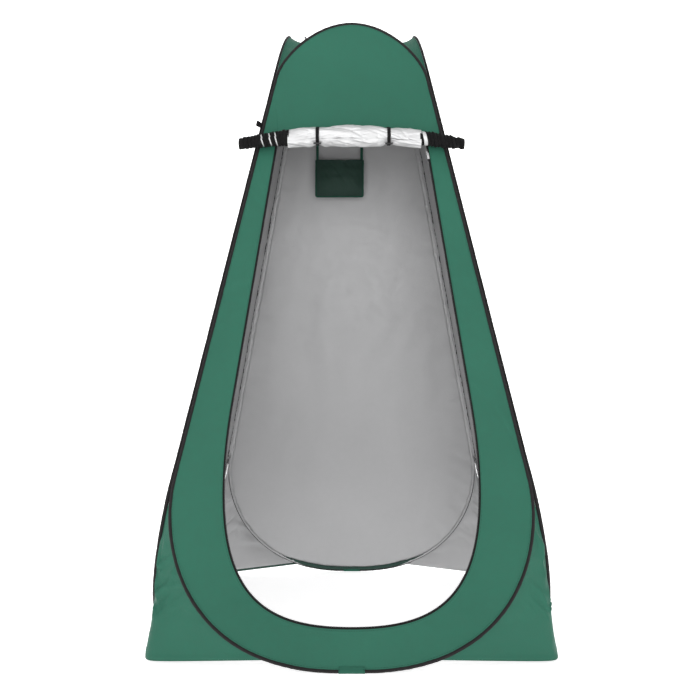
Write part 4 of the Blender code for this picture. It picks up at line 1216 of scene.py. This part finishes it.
def make_zip():
    """The fixed half of the door's zip: its tape, its core and its teeth."""
    flat, way = zip_route()
    across = inwards_3d(flat, way)
    up = wall_normal(flat[:, 1])
    centre = on_wall(flat)
    outline = np.array((
        (-0.0008, 0.0004), (-0.0007, 0.0012), (0.0, 0.0012),
        (TAPE_WIDTH, 0.0008), (TAPE_WIDTH, -0.0002), (0.0, -0.0002),
    ))
    tape = tube_mesh("zip_tape", centre, across, up, outline)
    add_piece("zip_tape_cloth", tape, (zip_black,), ["door_zip_tape"], "front_wall")
    runs = lengths_along(centre)
    at = np.arange(0, runs[-1], TEETH_PITCH)

    def read(values):
        return np.stack([np.interp(at, runs, values[:, k]) for k in range(3)], -1)

    middle, side, lift = read(centre), unit(read(across)), unit(read(up))
    along = np.cross(side, lift)
    box = np.array([(a, b, c) for a in (-1, 1) for b in (-1, 1) for c in (-1, 1)], float)
    size = (TEETH_PITCH * 0.32, TEETH_WIDTH / 2, 0.0013)
    taper = np.where(box[:, 1] > 0, 0.72, 1.0)
    corners = (
        middle[:, None]
        + side[:, None] * (TAPE_WIDTH + 0.0014 + box[:, 1, None] * size[1])
        + along[:, None] * (box[:, 0] * taper * size[0])[:, None]
        + lift[:, None] * (box[:, 2] * taper * size[2] + 0.0002)[:, None]
    )
    quads = np.array(((0, 1, 3, 2), (4, 6, 7, 5), (0, 4, 5, 1), (2, 3, 7, 6), (0, 2, 6, 4), (1, 5, 7, 3)))
    faces = (quads[None] + 8 * np.arange(len(at))[:, None, None]).reshape(-1, 4)
    mesh = new_mesh("zip_teeth", corners, faces)
    mesh.shade_flat()
    add_piece("zip_teeth", mesh, (teeth_black,), (), "front_wall")
    section = oval(0.0018, 0.0014, 6) + (TAPE_WIDTH + 0.0008, 0.0003)
    core = tube_mesh("zip_core", centre, across, up, section)
    add_piece("zip_core", core, (zip_black,), (), "front_wall")


def make_head_hem():
    """The folded hem of the dome's cloth along the head of the opening."""
    x = np.linspace(-DOOR_HEAD_CORNER[0] + 0.001, DOOR_HEAD_CORNER[0] - 0.001, 160)
    flat = vec(x, head_z(x) + 0.0026)
    centre = on_wall(flat, 0.0010)
    across, up = frames_of(centre, wall_normal(flat[:, 1]))
    lumpy = 1 + 0.12 * bumps(x, 0 * x, 0.009, 340)[:, None, None]
    mesh = tube_mesh("door_head_hem", centre, across, up, oval(0.0072, 0.0019, 14, 3)[None] * lumpy)
    add_piece("door_head_hem", mesh, (green,), (), "front_wall")


# ---- Webbing loops ----


def make_loop(name, node, root, outwards, along, width, length, gap, body):
    """A folded tab of webbing, its two legs pressed together at the seam."""
    sideways = unit(np.cross(outwards, along))
    out = np.linspace(0, length - gap, 14)[:, None]
    open_gap = gap * (0.35 + 0.65 * smoothstep(out / (length - gap)))
    first = root + outwards * out - sideways * open_gap
    turn = np.linspace(-math.pi / 2, math.pi / 2, 15)[1:-1, None]
    fold = root + outwards * (length - gap) + (sideways * np.sin(turn) + outwards * np.cos(turn)) * gap
    second = (root + outwards * out + sideways * open_gap)[::-1]
    route = np.vstack([first, fold, second])
    middle = root + outwards * (length / 2)
    normals = unit(route - middle - outwards * ((route - middle) @ outwards)[:, None] * 0.55)
    across, up = frames_of(route, normals)
    mesh = tube_mesh(name, route, across, up, oval(width, 0.0015, 14, 7))
    add_piece(name, mesh, (black_webbing,), [node], body)


def make_loops():
    """The loop on the front left edge, and the one on the roof by the left dome."""
    out = unit(np.array((-1.0, -1.0, 0)))
    edge = unit(np.array((EDGE_LEAN, EDGE_LEAN, 1.0)))
    out = unit(out - edge * (out @ edge))
    w = edge_width(EDGE_LOOP_Z) - SLEEVE_OFF_EDGE / 2
    root = np.array((-w, -w, EDGE_LOOP_Z)) + out * 0.0058
    make_loop("edge_webbing_loop", "edge_loop", root, out, edge, 0.016, 0.019, 0.0030, "front_wall")
    low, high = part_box("roof_loop")
    root = np.array(((low.x + high.x) / 2, (low.y + high.y) / 2, low.z))
    along = np.array((0, 1.0, 0))
    length = high.z - low.z - 0.0006
    make_loop("roof_webbing_loop", "roof_loop", root, UP, along, 0.012, length, 0.0026, "left_wall")


# ---- The pocket ----


def add_dark(name, mesh, material, node):
    return add_piece(name, mesh, (material,), [node], "pocket")


def make_pocket():
    """A pouch with a hemmed mouth on a flat back, bound round its sides and foot, on two tapes."""
    low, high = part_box("pocket_binding")
    left, right, bottom, top = low.x, high.x, low.z, high.z
    back_y = (low.y + high.y) / 2
    front_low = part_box("pocket_front")[0]
    columns, rows = 64, 52
    u = np.linspace(-1, 1, columns)[None, :]
    v = np.linspace(0, 1, rows)[:, None]
    middle, half = (left + right) / 2, (right - left) / 2 - 0.0035
    height = top - bottom - 0.010
    x = middle + u * half + 0 * v
    z = bottom + 0.004 + v * height + 0 * u
    creases = 0.0012 * bumps(x, z, (0.030, 0.020), 400) + 0.0008 * bumps(x + 0.6 * z, z, (0.012, 0.04), 401)

    swell = (1 - u**4) * smoothstep(v * 1.8 + 0.02)
    depth = back_y - front_low.y - 0.003
    droop = 0.005 * (1 - u**2) * smoothstep((v - 0.75) / 0.25)
    y = back_y - 0.0018 - depth * swell * (0.93 + 0.07 * np.cos(3 * u)) - creases * swell
    cell = vec(x, z)
    points = vec(x, y, z - droop)
    mesh = new_mesh("pocket_front_cloth", points, grid_faces(rows, columns), cell)
    front = add_dark("pocket_front_cloth", mesh, pocket_green, "pocket_front")
    face_along(mesh, FORWARDS)
    two_faced(front, 0.0008)

    mouth = points[-1] + (0, 0, 0.003)
    across, up = frames_of(mouth, np.broadcast_to(FORWARDS, mouth.shape))
    mesh = tube_mesh("pocket_hem_band", mouth, across, up, oval(0.0085, 0.0024, 14, 3))
    hem = add_dark("pocket_hem_band", mesh, pocket_green, "pocket_hem")

    z_back = bottom + 0.003 + v * (top - bottom - 0.004) + 0 * u
    y_back = back_y + 0.0009 + 0.0010 * bumps(x, z_back, (0.04, 0.03), 402)
    mesh = new_mesh("pocket_back_cloth", vec(x, y_back, z_back), grid_faces(rows, columns), cell)
    back = add_dark("pocket_back_cloth", mesh, pocket_green, "pocket_back")
    two_faced(back, 0.0007)

    rim, arc = 0.003, 0.006
    left, right, bottom = left + rim, right - rim, bottom + rim
    turn = np.linspace(0, math.pi / 2, 8)[1:-1]
    rounded = [(arc * (1 - math.cos(a)), arc * (1 - math.sin(a))) for a in turn]
    flat = [(left, z) for z in np.linspace(top, bottom + arc, 24)]
    flat += [(left + dx, bottom + dz) for dx, dz in rounded]
    flat += [(x, bottom) for x in np.linspace(left + arc, right - arc, 30)]
    flat += [(right - dx, bottom + dz) for dx, dz in rounded[::-1]]
    flat += [(right, z) for z in np.linspace(bottom + arc, top, 24)]
    flat = np.array(flat)
    wobble = 0.0005 * bumps(lengths_along(flat), 0, 0.03, 403)
    route = vec(flat[:, 0] + wobble, back_y - 0.0006, flat[:, 1] + wobble)
    across, up = frames_of(route, np.broadcast_to(FORWARDS, route.shape))
    band = tube_mesh("pocket_rim", route, across, up, oval(0.0062, 0.0034, 14, 3))
    add_dark("pocket_rim", band, binding_green, "pocket_binding")

    for side in ("left", "right"):
        make_pocket_strip(side)


def make_pocket_strip(side):
    """One of the tapes that the pocket hangs on, with a slight twist."""
    low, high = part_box(f"pocket_tape_{side}")
    z = np.linspace(low.z - 0.012, high.z, 60)
    x = np.full_like(z, (low.x + high.x) / 2)
    rise = np.clip((z - low.z) / (high.z - low.z), 0, 1)
    bend = 0.0022 * bumps(z, 0, 0.09, 410 + len(side)) * np.sin(math.pi * rise)
    route = vec(x, (low.y + high.y) / 2 - 0.0016 + bend, z)
    twist = 0.10 * bumps(z, 0, 0.12, 420 + len(side))
    across, up = frames_of(route, vec(np.sin(twist), -np.cos(twist), 0))
    name = f"pocket_strip_{side}"
    mesh = tube_mesh(name, route, across, up, oval(high.x - low.x, 0.0014, 12, 6))
    add_dark(name, mesh, binding_green, f"pocket_tape_{side}")


# ---- The metal pieces that keep the frame's shape ----


def dress_cad_nodes():
    """Gives the wires, the slider, its tabs and the stops their metals."""
    for name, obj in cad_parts.items():
        if "wire" in name:
            finish, slot = steel, "spring_steel"
        elif name in ("zip_slider", "pull_tab_outer", "pull_tab_inner", "zip_stop_left", "zip_stop_right"):
            finish, slot = zip_metal, "zip_metal"
        else:
            continue
        obj.data.materials.clear()
        obj.data.materials.append(finish)


# ---- The studio ----

CAMERA_AT = (0.0, -2.655, 0.660)
CAMERA_PITCH = math.radians(4.36)
CAMERA_SHIFT = -0.0024
CAMERA_LENS = 40.4
WORLD_LIGHT = 0.80
PAPER_GLOW = 0.74
LIGHTS = (
    ("key", (-2.4, -4.4, 3.4), (0, 0, 0.9), (3.0, 3.0), 45),
    ("front", (0.3, -5.2, 1.5), (0, 0, 0.9), (2.0, 2.0), 45),
    ("back", (0.5, 3.5, 4.5), (0, 8, 1.2), (4.0, 2.0), 120),
)


def add_light(name, place, target, size, power):
    data = bpy.data.lights.new(name, "AREA")
    data.shape = "RECTANGLE"
    data.size, data.size_y = size
    data.energy = power
    obj = bpy.data.objects.new(name, data)
    bpy.context.scene.collection.objects.link(obj)
    obj.location = place
    obj.rotation_euler = (Vector(target) - Vector(place)).to_track_quat("-Z", "Y").to_euler()


def make_studio():
    """The camera, the paper that curves up behind, and a soft even light."""
    camera = bpy.data.objects.new("camera", bpy.data.cameras.new("camera"))
    camera.data.lens = CAMERA_LENS
    camera.data.shift_x = CAMERA_SHIFT
    camera.location = CAMERA_AT
    camera.rotation_euler = (math.pi / 2 + CAMERA_PITCH, 0, 0)
    bpy.context.scene.collection.objects.link(camera)
    bpy.context.scene.camera = camera

    reach, back, bend = 14.0, 5.0, 3.0
    sweep = np.linspace(0, math.pi / 2, 16)[1:]
    profile = [(-reach, 0.0), (back, 0.0)]
    profile += [(back + bend * math.sin(a), bend * (1 - math.cos(a))) for a in sweep]
    profile += [(back + bend, 12.0)]
    points = np.array([[(x, y, z - 0.0006) for y, z in profile] for x in (-reach, reach)])
    mesh = new_mesh("studio_floor", points, grid_faces(2, len(profile)))
    floor = bpy.data.objects.new("studio_floor", mesh)
    bpy.context.scene.collection.objects.link(floor)
    paper = Shader("studio_paper")
    grain = paper.noise(3.0, 2)
    shade = paper.mix(grain, (0.91, 0.91, 0.91, 1), (0.93, 0.93, 0.93, 1))
    paper.set(base_color=shade, roughness=0.9, emission_color=shade, emission_strength=PAPER_GLOW)
    floor.data.materials.append(paper.material)

    world = bpy.data.worlds.new("studio")
    bpy.context.scene.world = world
    world.use_nodes = True
    background = world.node_tree.nodes["Background"].inputs
    background[0].default_value = (1, 1, 1, 1)
    background[1].default_value = WORLD_LIGHT
    for name, place, target, size, power in LIGHTS:
        add_light(name, place, target, size, power)
    bpy.context.scene.view_settings.view_transform = "Standard"


make_studio()
make_panels()
make_sleeves()
make_patches()
make_foot_hems()
make_seam_linings()
make_corner_seams()
make_gussets()
make_roof()
make_silver_roll()
make_wound_zip(
    "left", -ROLL_HALF, ROLL_SILVER_ENDS[0],
    (-0.350, -0.327, -0.316, -0.305, -0.294, -0.2845, -0.2745, -0.2705, -0.2605, -0.2505, -0.2470, -0.2370,
     -0.2330, -0.2292, -0.2190, -0.2080, -0.1970, -0.180),
    (6, 9, 12), 500,
)
make_wound_zip(
    "right", ROLL_SILVER_ENDS[1], ROLL_HALF,
    (0.190, 0.2155, 0.2265, 0.2370, 0.2475, 0.2580, 0.2690, 0.2800, 0.2900, 0.3010, 0.3120, 0.3230, 0.350),
    (1,), 520,
)
make_head_flap()
make_ties()
make_toggles()
make_zip()
make_head_hem()
make_loops()
make_pocket()
dress_cad_nodes()
